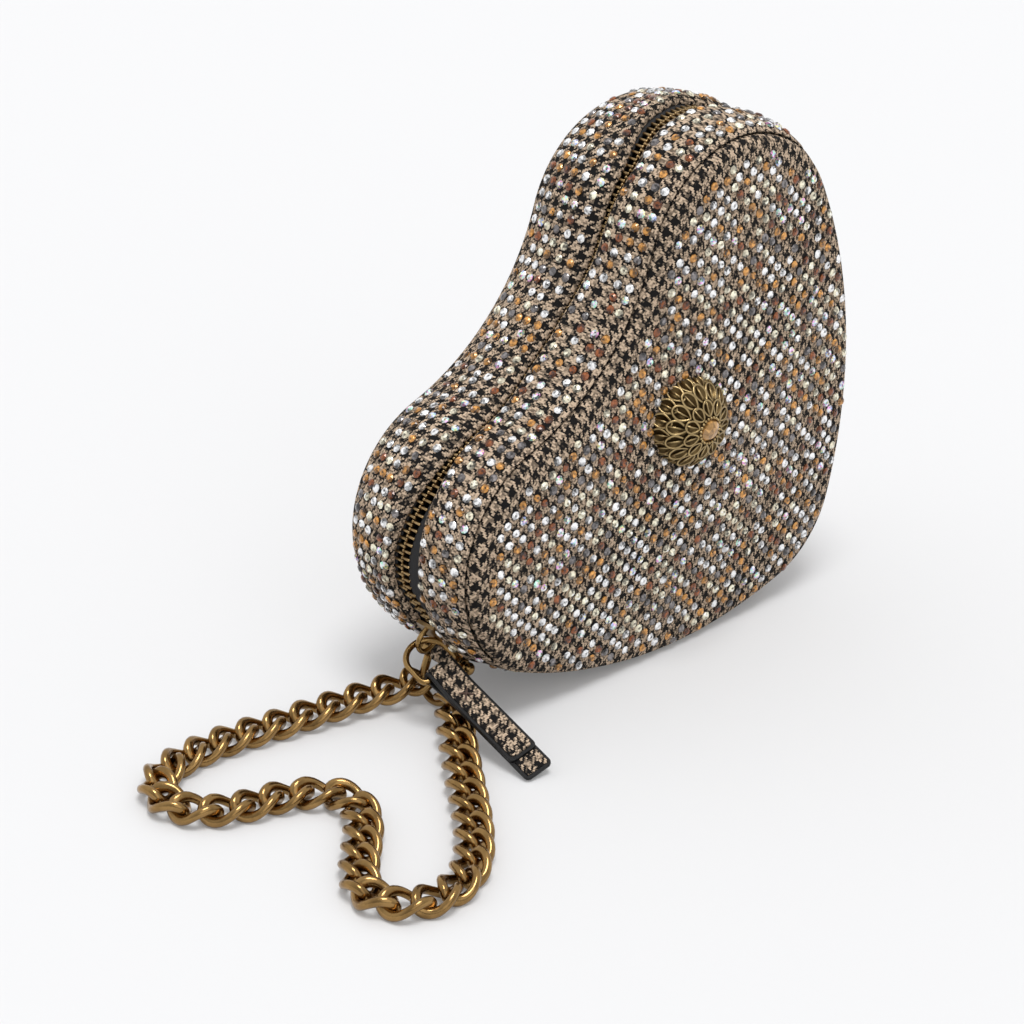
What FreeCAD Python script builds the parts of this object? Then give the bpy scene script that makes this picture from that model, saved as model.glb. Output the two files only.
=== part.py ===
import FreeCAD, Part
import math
import os
import re

import Sketcher
from FreeCAD import Placement, Rotation, Vector

# Heart shaped purse standing on one long side, with a wrist chain beside it.
# Heart frame of the shells: x runs from the lobes to the tip, y across the lobes
# and z out of the zip plane towards the panel. The part frame has Z up, the front
# panel towards -Y and its origin on the floor under the side that the purse stands on.

SIZES = [
    ("lobe_offset", 51.4, "lobe centre from the heart's axis"),
    ("lobe_radius", 38.8, "seam radius of a lobe"),
    ("notch_radius", 76.0, "seam radius between the lobes"),
    ("side_radius", 154.0, "seam radius of a long side"),
    ("tip_radius", 34.0, "seam radius of the tip"),
    ("tip_reach", 100.0, "tip from the line of the lobe centres"),
    ("flat_depth", 0.4, "depth to which the standing side is flattened"),
    ("front_seam", 21.5, "zip plane to the front seam"),
    ("back_seam", 28.4, "zip plane to the back seam"),
    ("seam_gap", 0.1, "space between two layers that meet"),
    ("foot_drop", 0.5, "panel foot below the seam"),
    ("gusset_wall", 2.0, "thickness of a gusset band"),
    ("gusset_crown", 2.5, "bulge of a gusset band beside the zip"),
    ("zip_edge", 5.5, "zip plane to the edge of a gusset band"),
    ("band_end", 0.3, "half the space between a zip band and the base band"),
    ("panel_inset", 0.6, "panel edge inside the seam outline"),
    ("panel_crown", 4.8, "height of a panel cover"),
    ("panel_bevel", 3.2, "bevel round a panel cover"),
    ("cover_wall", 2.6, "side wall of a panel cover"),
    ("board_thick", 1.4, "stiffening board"),
    ("lining_thick", 0.6, "lining cloth"),
    ("lining_inset", 2.2, "lining inside the seam outline"),
    ("tape_outer", 0.5, "outer side of the zip tape inside the seam outline"),
    ("tape_thick", 0.7, "zip tape"),
    ("tape_edge", 3.05, "zip plane to the inner edge of a tape"),
    ("tape_width", 8.0, "width of one tape"),
    ("tooth_pitch", 2.4, "spacing of the zip teeth in one row"),
    ("tooth_root", 1.7, "width of a tooth at the tape"),
    ("tooth_start", 5.1, "end of the zip to the first tooth"),
    ("zip_tail", 7.2, "last tooth to the far end of the zip"),
    ("stop_over", 0.3, "stop above and below the teeth"),
    ("tooth_reach", 0.9, "tooth tip past the zip plane"),
    ("tooth_height", 2.4, "tooth across the tape"),
    ("slider_place", 6.0, "slider centre from the end of the zip"),
    ("slider_length", 9.4, "slider along the zip"),
    ("slider_width", 9.6, "slider across the zip"),
    ("slider_plate", 1.2, "plate of the slider"),
    ("slider_above", 1.45, "zip line to the outer plate"),
    ("slider_below", 1.75, "zip line to the inner plate"),
    ("bail_radius", 3.2, "bend of the slider's bail"),
    ("bail_leg", 2.6, "straight leg of the bail"),
    ("bail_wire", 1.6, "wire of the bail"),
    ("ring_wire", 1.9, "wire of the puller ring"),
    ("ring_top", 3.4, "bend of the puller ring at the bail"),
    ("ring_bar", 9.8, "bar of the puller ring between its corners"),
    ("ring_length", 9.6, "bend centre to bar of the puller ring"),
    ("ring_corner", 1.7, "corner bend of the puller ring"),
    ("strap_width", 9.6, "puller strap"),
    ("strap_ply", 1.1, "one ply of the puller strap"),
    ("strap_eye", 1.25, "eye in the fold of the strap"),
    ("strap_neck", 9.0, "bar to the stitch that closes the eye"),
    ("strap_upper", 38.0, "bar to the end of the upper ply"),
    ("strap_lower", 45.0, "bar to the end of the lower ply"),
    ("facing_thick", 0.5, "cloth facing on the strap"),
    ("facing_margin", 0.9, "leather edge beside the facing"),
    ("stitch_wire", 0.7, "thread of the cross stitch"),
    ("strap_roll", 18.0, "slope of the strap across its width"),
    ("ring_play", 0.8, "play of the puller ring on the bail"),
    ("strap_drift", 0.23, "free end of the strap to the left of the bail"),
    ("strap_forward", 53.0, "free end of the strap before the zip plane"),
    ("strap_end_rise", 2.4, "free end of the strap above the floor"),
    ("tab_place", 4.0, "anchor tab past the end of the zip"),
    ("tab_width", 8.0, "anchor tab across the gusset"),
    ("tab_foot", 8.0, "foot of the anchor tab along the gusset"),
    ("tab_ply", 1.2, "cloth of the anchor tab"),
    ("pin_rise", 4.6, "shackle pin above the gusset"),
    ("pin_height", 14.7, "shackle pin above the floor"),
    ("pin_wire", 2.4, "shackle pin"),
    ("pin_fit", 0.3, "room round the shackle pin"),
    ("knob_size", 4.2, "knob on each end of the pin"),
    ("knob_length", 3.4, "knob along the pin"),
    ("knob_flat", 0.8, "end of a knob"),
    ("bow_wire", 2.6, "wire of the shackle bow"),
    ("bow_radius", 7.0, "bend of the shackle bow"),
    ("bow_leg", 7.0, "leg of the shackle bow"),
    ("bow_rest", 1.62, "middle of the bow's bend above the floor"),
    ("link_wire", 2.5, "wire of a chain link"),
    ("link_width", 12.4, "chain link across"),
    ("link_play", 1.05, "play between two links"),
    ("link_lift", 2.0, "twist of a link above and below its middle"),
    ("link_count", 39, "links in the chain"),
    ("link_rise", 3.4, "middle of a link above the floor"),
    ("end_over", 4.38, "end link above the middle of the bow's bend"),
    ("rise_links", 5, "links over which the chain comes down to the floor"),
    ("medal_x", 11.4, "medallion along the heart's axis"),
    ("medal_y", 2.0, "medallion across the heart's axis"),
    ("medal_radius", 13.6, "medallion"),
    ("medal_thick", 1.2, "edge of the medallion"),
    ("medal_dome", 9.0, "height of the medallion"),
    ("medal_petals", 16, "petals round the medallion"),
    ("petal_waist", 0.9, "share of the radius left between two petals"),
    ("medal_top", 7.8, "flat of the medallion under the stone"),
    ("stone_radius", 3.4, "centre stone"),
    ("stone_height", 1.9, "centre stone"),
    ("stone_girdle", 0.8, "upright edge of the centre stone"),
    ("stone_table", 2.0, "flat top of the centre stone"),
    ("prong_width", 3.0, "medallion prong"),
    ("prong_thick", 0.6, "medallion prong"),
    ("prong_spread", 7.0, "medallion prong from the middle"),
]

# Points along the middle of the chain from under the bow's bend, round and back to it.
CHAIN_ROUTE = [
    (0.9, 6.1),
    (-21.0, 12.0),
    (-48.5, 18.8),
    (-75.5, 21.6),
    (-90.5, 16.5),
    (-95.0, 4.0),
    (-85.5, -8.5),
    (-66.0, -16.0),
    (-57.0, -27.0),
    (-64.5, -43.0),
    (-78.0, -57.0),
    (-84.0, -68.5),
    (-79.5, -79.0),
    (-66.5, -82.0),
    (-45.0, -67.5),
    (-28.5, -46.0),
    (-13.5, -25.5),
    (0.5, -8.0),
]
LINK_STEPS = 10
LINK_SIDES = 4
WIRE_SIDES = 6
BEND_STEPS = 6
KNEE_STEPS = 3
PIN_SIDES = 8
STONE_SIDES = 8

doc = FreeCAD.newDocument("heart_purse")
sheet = doc.addObject("Spreadsheet::Sheet", "Sheet")
for row, (alias, number, meaning) in enumerate(SIZES, start=1):
    sheet.set("A%d" % row, meaning)
    sheet.set("B%d" % row, str(number))
    sheet.setAlias("B%d" % row, alias)
doc.recompute()
nodes = []


def size(alias):
    """One driving dimension as a plain number."""
    return float(sheet.get(alias))


def worth(expression):
    """The value of an expression in the sheet's aliases."""
    return float(sheet.evalExpression(expression))


def bound(expression):
    """The same expression as another object of the document writes it."""
    return re.sub(r"[a-z_]+", lambda alias: "Sheet." + alias.group(), expression)


# Arcs of the seam outline


def polar(centre, radius, angle):
    return centre + Vector(math.cos(angle), math.sin(angle), 0) * radius


def bearing(vector):
    return math.atan2(vector.y, vector.x)


def mirrored(point):
    return Vector(point.x, -point.y, point.z)


def find_side_centre():
    """Centre of the long side's arc, which touches the lobe on +y and the tip."""
    to_lobe = size("side_radius") - size("lobe_radius")
    to_tip = size("side_radius") - size("tip_radius")
    between = tip_centre - lobe_centre
    span = between.Length
    along = (to_lobe**2 - to_tip**2 + span**2) / (2 * span)
    across = math.sqrt(to_lobe**2 - along**2)
    unit = between / span
    return lobe_centre + unit * along + Vector(unit.y, -unit.x, 0) * across


lobe_centre = Vector(0, size("lobe_offset"), 0)
notch_lobe = size("notch_radius") + size("lobe_radius")
notch_centre = Vector(-math.sqrt(notch_lobe**2 - size("lobe_offset") ** 2), 0, 0)
tip_centre = Vector(size("tip_reach") - size("tip_radius"), 0, 0)
side_centre = find_side_centre()
notch_turn = bearing(lobe_centre - notch_centre)
shoulder_turn = bearing(lobe_centre - side_centre)
tip_turn = bearing(tip_centre - side_centre)



def tab_bearing():
    """Direction of the anchor tab from the centre of the lobe on -y."""
    return math.pi * 1.5 + size("tab_place") / size("lobe_radius")


def find_slope():
    """Slope of the heart's axis in degrees that brings the shackle pin to its height."""
    pin = polar(mirrored(lobe_centre), worth("lobe_radius + pin_rise"), tab_bearing())
    arm = pin - mirrored(side_centre)
    drop = worth("pin_height + flat_depth - side_radius")
    return -math.degrees(math.acos(drop / arm.Length) + math.atan2(arm.x, arm.y))


# Standing pose: the axis slopes down to the tip, and the long side on -y is lowest
slope = find_slope()
lean = Rotation(Vector(0, 1, 0), slope) * Rotation(Vector(1, 0, 0), 90)
low_middle = lean.multVec(mirrored(side_centre))
rise = size("side_radius") - low_middle.z - size("flat_depth")
front_pose = Placement(Vector(-low_middle.x, 0, rise), lean)
back_pose = front_pose * Placement(Vector(), Rotation(Vector(1, 0, 0), 180))


# Bodies, sketches and features


def new_body(label, pose):
    body = doc.addObject("PartDesign::Body", label)
    body.Label = label
    body.Placement = pose
    nodes.append(body)
    return body


def new_sketch(body, role, height="0"):
    """A sketch on one of the body's own planes, raised by an expression."""
    sketch = body.newObject("Sketcher::SketchObject", body.Name + "_sketch")
    plane = next(f for f in body.Origin.OriginFeatures if f.Role == role)
    sketch.AttachmentSupport = [(plane, "")]
    sketch.MapMode = "FlatFace"
    sketch.setExpression("AttachmentOffset.Base.z", bound(height))
    return sketch


def hold(sketch, kind, *parts):
    """Add a constraint whose value follows the expression that comes last."""
    expression = parts[-1]
    constraint = Sketcher.Constraint(kind, *parts[:-1], worth(expression))
    index = sketch.addConstraint(constraint)
    sketch.setExpression("Constraints[%d]" % index, bound(expression))


def hold_point(sketch, index, end, place):
    """Keep a point of a curve at a pair of expressions from the sketch's origin."""
    hold(sketch, "DistanceX", -1, 1, index, end, place[0])
    hold(sketch, "DistanceY", -1, 1, index, end, place[1])


def add_arc(sketch, centre, radius, start, end):
    circle = Part.Circle(centre, Vector(0, 0, 1), radius)
    return sketch.addGeometry(Part.ArcOfCircle(circle, start, end))


def join_smoothly(sketch, joins):
    for ends in joins:
        sketch.addConstraint(Sketcher.Constraint("Tangent", *ends))


def heart_loop(sketch, inset):
    """The seam outline moved inwards by an expression, as six tangent arcs."""
    move = worth(inset)
    lobe = size("lobe_radius") - move
    side = size("side_radius") - move
    half = math.pi
    tip = add_arc(sketch, tip_centre, size("tip_radius") - move, -tip_turn, tip_turn)
    side_up = add_arc(sketch, side_centre, side, tip_turn, shoulder_turn)
    lobe_up = add_arc(sketch, lobe_centre, lobe, shoulder_turn, notch_turn + half)
    notch = add_arc(sketch, notch_centre, size("notch_radius") + move, -notch_turn, notch_turn)
    low_lobe = mirrored(lobe_centre)
    lobe_low = add_arc(sketch, low_lobe, lobe, half - notch_turn, 2 * half - shoulder_turn)
    side_low = add_arc(sketch, mirrored(side_centre), side, -shoulder_turn, -tip_turn)
    joins = [
        (tip, 2, side_up, 1),
        (side_up, 2, lobe_up, 1),
        (lobe_up, 2, notch, 2),
        (notch, 1, lobe_low, 1),
        (lobe_low, 2, side_low, 1),
        (side_low, 2, tip, 1),
    ]
    join_smoothly(sketch, joins)
    hold_point(sketch, lobe_up, 3, ("0", "lobe_offset"))
    hold_point(sketch, lobe_low, 3, ("0", "-lobe_offset"))
    hold_point(sketch, tip, 3, ("tip_reach - tip_radius", "0"))
    radii = [
        (lobe_up, "lobe_radius - (%s)"),
        (lobe_low, "lobe_radius - (%s)"),
        (side_up, "side_radius - (%s)"),
        (side_low, "side_radius - (%s)"),
        (tip, "tip_radius - (%s)"),
        (notch, "notch_radius + (%s)"),
    ]
    for arc, radius in radii:
        hold(sketch, "Radius", arc, radius % inset)


def heart_sketch(body, height, *insets):
    sketch = new_sketch(body, "XY_Plane", height)
    for inset in insets:
        heart_loop(sketch, inset)
    return sketch


def circle_loop(sketch, centre, radius):
    """A circle at a pair of expressions, with its radius as a third."""
    middle = Vector(worth(centre[0]), worth(centre[1]), 0)
    index = sketch.addGeometry(Part.Circle(middle, Vector(0, 0, 1), worth(radius)))
    hold_point(sketch, index, 3, centre)
    hold(sketch, "Radius", index, radius)


def line_loop(sketch, corners):
    """A closed run of straight lines through corners given as pairs of expressions."""
    places = [Vector(worth(x), worth(y), 0) for x, y in corners]
    lines = []
    for start, end in zip(places, places[1:] + places[:1]):
        lines.append(sketch.addGeometry(Part.LineSegment(start, end)))
    for line, following in zip(lines, lines[1:] + lines[:1]):
        sketch.addConstraint(Sketcher.Constraint("Coincident", line, 2, following, 1))
    for line, corner in zip(lines, corners):
        hold_point(sketch, line, 1, corner)


def ring_corners(radii, count):
    """Corners round the origin as pairs of expressions, on one radius or on several in turn."""
    corners = []
    for corner in range(count):
        angle = 2 * math.pi * corner / count
        radius = radii[corner % len(radii)]
        x = "(%s) * %.12f" % (radius, math.cos(angle))
        y = "(%s) * %.12f" % (radius, math.sin(angle))
        corners.append((x, y))
    return corners


def box_corners(x_low, x_high, y_low, y_high):
    return [(x_low, y_low), (x_high, y_low), (x_high, y_high), (x_low, y_high)]


def add_feature(body, kind, profile, **values):
    """A feature of a body on a profile; values given as text are expressions."""
    feature = body.newObject("PartDesign::" + kind, body.Name + "_" + kind.lower())
    feature.Profile = profile
    for name, value in values.items():
        if isinstance(value, str) and name != "SideType":
            feature.setExpression(name, bound(value))
        else:
            setattr(feature, name, value)
    doc.recompute()
    return feature


def add_pad(body, sketch, length, **values):
    return add_feature(body, "Pad", sketch, Length=length, **values)


def add_pocket(body, sketch, length, **values):
    return add_feature(body, "Pocket", sketch, Length=length, **values)


def flat_face(points):
    return Part.Face(Part.makePolygon(points + points[:1]))


def solid_of(faces):
    """The solid that a closed set of faces bounds."""
    solid = Part.Solid(Part.Shell(faces))
    if solid.Volume < 0:
        solid.reverse()
    return solid


def add_solid(label, shape, pose):
    """A node that is a plain shape in its own frame."""
    node = doc.addObject("Part::Feature", label)
    node.Label = label
    node.Shape = shape
    node.Placement = pose
    nodes.append(node)


def ring_faces(rings, closed):
    """Flat faces between outlines that follow each other."""
    faces = []
    for low, high in zip(rings, rings[1:] + rings[:1] if closed else rings[1:]):
        for a, b, c, d in zip(low, low[1:] + low[:1], high[1:] + high[:1], high):
            faces.append(flat_face([a, b, c, d]))
    if not closed:
        faces += [flat_face(rings[0]), flat_face(rings[-1])]
    return faces


def bend_points(centre, radius, start, end, steps):
    """Points along a bend of a wire."""
    turns = [start + (end - start) * step / steps for step in range(steps + 1)]
    return [polar(centre, radius, turn) for turn in turns]


def make_wire(points, radius, closed):
    """A wire with flat sides along points in the XY plane, mitred at each of them."""
    count = len(points)
    rings = []
    for index, point in enumerate(points):
        first = index == 0 and not closed
        last = index == count - 1 and not closed
        leave = Vector() if last else (points[(index + 1) % count] - point).normalize()
        arrive = leave if first else (point - points[index - 1]).normalize()
        along = (arrive + leave).normalize()
        side = Vector(-along.y, along.x, 0) / along.dot(arrive)
        ring = []
        for corner in range(WIRE_SIDES):
            angle = 2 * math.pi * corner / WIRE_SIDES
            ring.append(point + (side * math.cos(angle) + Vector(0, 0, math.sin(angle))) * radius)
        rings.append(ring)
    return solid_of(ring_faces(rings, closed))


def add_facets(label, levels, pose):
    """A faceted solid through outlines of straight edges: heights, radii in turn, corners."""
    rings = []
    for height, radii, count in levels:
        corners = ring_corners(radii, count)
        rings.append([Vector(worth(x), worth(y), worth(height)) for x, y in corners])
    add_solid(label, solid_of(ring_faces(rings, False)), pose)


def keep_half(body, part):
    """Cut a ring at the ends of the zip and keep its zip part or its base part."""
    far = "tip_reach * 2"
    sketch = new_sketch(body, "XY_Plane", far)
    across = ("-%s" % far, far)
    if part == "zip":
        line_loop(sketch, box_corners("-band_end", far, *across))
    else:
        line_loop(sketch, box_corners("-%s" % far, "band_end", *across))
    add_pocket(body, sketch, "tip_reach * 4")


def make_band(label, pose, part, insets, low, high):
    """A straight ring between two insets, from low to high, cut at the ends of the zip."""
    body = new_body(label, pose)
    add_pad(body, heart_sketch(body, low, *insets), "(%s) - (%s)" % (high, low))
    keep_half(body, part)
    return body


# Panels, bands and linings of the two shells

PRONG_PLACES = ["medal_x + prong_spread", "medal_x - prong_spread"]


def cut_prong_slots(body, low):
    """Slots for the prongs of the medallion, upwards from an expression."""
    sketch = new_sketch(body, "XY_Plane", low)
    long, short = "(prong_width / 2 + seam_gap)", "(prong_thick / 2 + seam_gap)"
    for place in PRONG_PLACES:
        sides = ("%s - %s" % (place, short), "%s + %s" % (place, short))
        line_loop(sketch, box_corners(*sides, "medal_y - " + long, "medal_y + " + long))
    add_pocket(body, sketch, "panel_crown * 2", Reversed=True)


def make_panel(side, pose, foot):
    """Padded cover, board and lining of one panel, whose foot is an expression."""
    cover = new_body(side + "_cover", pose)
    shoulder = "(panel_crown - panel_bevel)"
    add_pad(cover, heart_sketch(cover, foot, "panel_inset"), shoulder)
    edge = heart_sketch(cover, "%s + %s" % (foot, shoulder), "panel_inset")
    top = heart_sketch(cover, "%s + panel_crown" % foot, "panel_inset + panel_bevel")
    add_feature(cover, "AdditiveLoft", edge, Sections=[top], Ruled=True)
    hollow = heart_sketch(cover, foot, "panel_inset + cover_wall")
    add_pocket(cover, hollow, "board_thick + seam_gap * 2", Reversed=True)

    board = new_body(side + "_board", pose)
    board_sketch = heart_sketch(board, foot + " + seam_gap", "panel_inset + cover_wall + seam_gap")
    add_pad(board, board_sketch, "board_thick")

    lining = new_body(side + "_lining", pose)
    lining_low = "%s - lining_thick" % foot
    add_pad(lining, heart_sketch(lining, lining_low, "lining_inset"), "lining_thick")
    if side == "front":
        for layer in (cover, board):
            cut_prong_slots(layer, foot)


def make_zip_band(side, pose, foot):
    """Crowned gusset band beside the zip, and its zip tape."""
    band = new_body(side + "_gusset", pose)
    high = "%s - seam_gap" % foot
    outer = heart_sketch(band, "zip_edge", "-gusset_crown")
    outer_high = heart_sketch(band, high, "0")
    add_feature(band, "AdditiveLoft", outer, Sections=[outer_high], Ruled=True)
    inner = heart_sketch(band, "zip_edge", "gusset_wall - gusset_crown")
    inner_high = heart_sketch(band, high, "gusset_wall")
    add_feature(band, "SubtractiveLoft", inner, Sections=[inner_high], Ruled=True)
    keep_half(band, "zip")

    tape_insets = ("tape_outer", "tape_outer + tape_thick")
    make_band(side + "_zip_tape", pose, "zip", tape_insets, "tape_edge", "tape_edge + tape_width")


def make_base(front_foot, back_foot):
    """Base band from one end of the zip round the tip to the other, and its lining."""
    insets = ("0", "gusset_wall")
    back_edge = "-(%s - seam_gap)" % back_foot
    front_edge = "%s - seam_gap" % front_foot
    band = make_band("base_gusset", front_pose, "base", insets, back_edge, front_edge)
    under = new_sketch(band, "XY_Plane")
    under.AttachmentOffset = Placement(Vector(), Rotation(Vector(0, 0, 1), slope))
    far = size("tip_reach") * 2
    corners = [Vector(-far, -far), Vector(far, -far), Vector(far, -rise), Vector(-far, -rise)]
    for start, end in zip(corners, corners[1:] + corners[:1]):
        under.addGeometry(Part.LineSegment(start, end))
    add_pocket(band, under, "tip_reach * 4", SideType="Symmetric")

    lining_insets = ("lining_inset", "lining_inset + lining_thick")
    lining_low = "-(%s - lining_thick - seam_gap)" % back_foot
    lining_high = "%s - lining_thick - seam_gap" % front_foot
    make_band("base_lining", front_pose, "base", lining_insets, lining_low, lining_high)


# Zip

zip_inset = worth("tape_outer + tape_thick / 2")
lobe_line = size("lobe_radius") - zip_inset
notch_line = size("notch_radius") + zip_inset
lobe_run = (math.pi / 2 + notch_turn) * lobe_line
notch_run = 2 * notch_turn * notch_line
zip_run = 2 * lobe_run + notch_run


def outward_frame(point, outward):
    """Frame at a point of an outline: x along the zip, y to the front, z outwards."""
    front = Vector(0, 0, 1)
    return Placement(point, Rotation(front.cross(outward), front, outward, "ZYX"))


def zip_place(along):
    """Frame on the zip line, at a distance from the end where the slider rests."""
    if along <= lobe_run:
        centre, radius, sense = mirrored(lobe_centre), lobe_line, 1
        angle = math.pi * 1.5 - along / lobe_line
    elif along <= lobe_run + notch_run:
        centre, radius, sense = notch_centre, notch_line, -1
        angle = (along - lobe_run) / notch_line - notch_turn
    else:
        centre, radius, sense = lobe_centre, lobe_line, 1
        angle = math.pi * 0.5 + (zip_run - along) / lobe_line
    point = polar(centre, radius, angle)
    return outward_frame(point, (point - centre) * (sense / radius))


def make_tooth():
    """One tooth at the origin of the zip line, from the front tape past the zip plane."""
    root = size("tooth_root") / 2
    base = worth("tape_edge - seam_gap / 2")
    height = size("tooth_height")
    corners = [(-root, base), (0, -size("tooth_reach")), (root, base)]
    outline = flat_face([Vector(x, y, -height / 2) for x, y in corners])
    return outline.extrude(Vector(0, 0, height))


def make_teeth(label, first, last, flip):
    """One row of teeth at the pitch; flip turns a tooth towards its own tape."""
    row = []
    along = first
    while along < last:
        tooth = make_tooth()
        tooth.Placement = zip_place(along) * flip
        row.append(tooth)
        along += size("tooth_pitch")
    add_solid(label, Part.makeCompound(row), front_pose)


def make_zip():
    """Both rows of teeth, and the stop that closes the far end."""
    first = size("tooth_start")
    last = zip_run - size("zip_tail")
    half_turn = Placement(Vector(), Rotation(Vector(0, 0, 1), 180))
    make_teeth("front_zip_teeth", first, last, Placement())
    make_teeth("back_zip_teeth", first + size("tooth_pitch") / 2, last, half_turn)

    stop = new_body("zip_stop", front_pose * zip_place(zip_run - worth("zip_tail / 2")))
    half = "(tooth_height / 2 + stop_over)"
    wide = "(tape_edge - seam_gap)"
    outline = new_sketch(stop, "XY_Plane", "-" + half)
    line_loop(outline, box_corners("-tooth_pitch", "tooth_pitch", "-" + wide, wide))
    add_pad(stop, outline, "2 * " + half)


slider_pose = front_pose * zip_place(size("slider_place"))


def make_slider():
    """Slider body: a wedge between two waisted plates, with a lip on each side."""
    slider = new_body("slider_body", slider_pose)
    end, quarter = "slider_length / 2", "slider_length / 4"
    side, waist = "slider_width / 2", "(slider_width / 2 - slider_plate)"
    outline = [
        ("-" + end, "-" + waist),
        ("-" + quarter, "-" + side),
        (quarter, "-" + side),
        (end, "-" + waist),
        (end, waist),
        (quarter, side),
        ("-" + quarter, side),
        ("-" + end, waist),
    ]
    wedge = new_sketch(slider, "XY_Plane", "-slider_below - slider_plate / 2")
    line_loop(wedge, box_corners(quarter, end, "-slider_plate", "slider_plate"))
    add_pad(slider, wedge, "slider_above + slider_below + slider_plate")
    for low in ("slider_above", "-slider_below - slider_plate"):
        plate = new_sketch(slider, "XY_Plane", low)
        line_loop(plate, outline)
        add_pad(slider, plate, "slider_plate")
    for edges in ((waist, side), ("-" + side, "-" + waist)):
        lip = new_sketch(slider, "XY_Plane", "slider_above - slider_plate / 2")
        line_loop(lip, box_corners("-" + quarter, quarter, *edges))
        add_pad(slider, lip, "slider_plate")


def make_bail():
    """Wire arch on the slider's outer plate."""
    reach = size("bail_radius")
    foot = worth("slider_above + slider_plate")
    arch = bend_points(Vector(0, foot + size("bail_leg"), 0), reach, math.pi, 0, BEND_STEPS)
    points = [Vector(-reach, foot, 0)] + arch + [Vector(reach, foot, 0)]
    upright = slider_pose * Placement(Vector(), Rotation(Vector(1, 0, 0), 90))
    add_solid("slider_bail", make_wire(points, worth("bail_wire / 2"), False), upright)


# Puller: x runs from the bail to the free end of the strap, y along the bar of the ring


def puller_frame():
    """Frame at the top of the bail, with the strap's face turned up."""
    top = worth("slider_above + slider_plate + bail_leg + bail_radius")
    start = slider_pose.multVec(Vector(0, 0, top))
    end = Vector(start.x - size("strap_drift"), -size("strap_forward"), size("strap_end_rise"))
    pull = (end - start).normalize()
    bar = Vector(0, 0, 1).cross(pull).normalize()
    level = Placement(start, Rotation(pull, bar, pull.cross(bar), "XYZ"))
    return level * Placement(Vector(), Rotation(Vector(1, 0, 0), size("strap_roll")))


puller_pose = puller_frame()
ring_clear = "(ring_top - ring_wire / 2 - bail_wire / 2 - ring_play)"
bar_place = "(%s + ring_length)" % ring_clear
strap_pose = puller_pose * Placement(Vector(worth(bar_place), 0, 0), Rotation())


def make_puller_ring():
    """Wire loop, narrow at the bail and wide at the bar that the strap is folded over."""
    bend, corner = size("ring_top"), size("ring_corner")
    top = Vector(worth(ring_clear), 0, 0)
    knee = Vector(worth(bar_place) - corner, worth("ring_bar / 2"), 0)
    turn = bearing(knee - top) + math.acos((bend - corner) / (knee - top).Length)
    points = bend_points(mirrored(knee), corner, -turn, 0, KNEE_STEPS)
    points += bend_points(knee, corner, 0, turn, KNEE_STEPS)
    points += bend_points(top, bend, turn, 2 * math.pi - turn, BEND_STEPS)
    add_solid("puller_ring", make_wire(points, worth("ring_wire / 2"), True), puller_pose)


def make_strap():
    """Leather strip folded over the bar, with its upper ply shorter than its lower one."""
    strap = new_body("puller_strap", strap_pose)
    fold = "(strap_eye + strap_ply)"
    outline = [
        ("0", fold),
        ("0", "-" + fold),
        ("strap_neck", "-strap_ply"),
        ("strap_lower", "-strap_ply"),
        ("strap_lower", "0"),
        ("strap_upper", "0"),
        ("strap_upper", "strap_ply"),
        ("strap_neck", "strap_ply"),
    ]
    side = new_sketch(strap, "XZ_Plane")
    line_loop(side, outline)
    add_pad(strap, side, "strap_width", SideType="Symmetric")
    bend = new_sketch(strap, "XZ_Plane")
    circle_loop(bend, ("0", "0"), fold)
    add_pad(strap, bend, "strap_width", SideType="Symmetric")
    eye = new_sketch(strap, "XZ_Plane")
    circle_loop(eye, ("0", "0"), "strap_eye")
    add_pocket(strap, eye, "strap_width * 2", SideType="Symmetric")

    facing = new_body("strap_facing", strap_pose)
    edge = "(strap_width / 2 - facing_margin)"
    sheet_outline = new_sketch(facing, "XY_Plane", "strap_ply")
    ends = ("strap_neck", "strap_upper - facing_margin")
    line_loop(sheet_outline, box_corners(*ends, "-" + edge, edge))
    add_pad(facing, sheet_outline, "facing_thick")


def make_stitch():
    """Two crossed threads that close the eye of the strap."""
    reach = worth("strap_width / 4")
    thread = size("stitch_wire")
    height = worth("strap_ply + facing_thick")
    middle = worth("strap_neck + strap_width / 4")
    bars = []
    for angle in (45, -45):
        bar = Part.makeBox(2 * reach, thread, thread, Vector(-reach, -thread / 2, 0))
        bar.Placement = Placement(
            Vector(middle, 0, height), Rotation(Vector(0, 0, 1), angle)
        )
        bars.append(bar)
    add_solid("strap_stitch", bars[0].fuse(bars[1]).removeSplitter(), strap_pose)


# Anchor tab, shackle and chain


def tab_frame():
    """Frame on the base band just past the end of the zip, z outwards."""
    centre = mirrored(lobe_centre)
    point = polar(centre, size("lobe_radius"), tab_bearing())
    return front_pose * outward_frame(point, (point - centre) / size("lobe_radius"))


tab_pose = tab_frame()


def make_tab():
    """Cloth loop on a foot that is sewn to the base band; it holds the shackle pin."""
    tab = new_body("anchor_tab", tab_pose)
    loop = "(pin_wire / 2 + pin_fit + tab_ply)"
    outline = [
        ("-tab_foot / 2", "0"),
        ("tab_foot / 2", "0"),
        ("tab_foot / 2", "tab_ply"),
        (loop, "tab_ply"),
        (loop, "pin_rise"),
        ("-" + loop, "pin_rise"),
        ("-" + loop, "tab_ply"),
        ("-tab_foot / 2", "tab_ply"),
    ]
    side = new_sketch(tab, "XZ_Plane")
    line_loop(side, outline)
    add_pad(tab, side, "tab_width", SideType="Symmetric")
    bend = new_sketch(tab, "XZ_Plane")
    circle_loop(bend, ("0", "pin_rise"), loop)
    add_pad(tab, bend, "tab_width", SideType="Symmetric")
    eye = new_sketch(tab, "XZ_Plane")
    circle_loop(eye, ("0", "pin_rise"), "pin_wire / 2 + pin_fit")
    add_pocket(tab, eye, "tab_width * 2", SideType="Symmetric")


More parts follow.
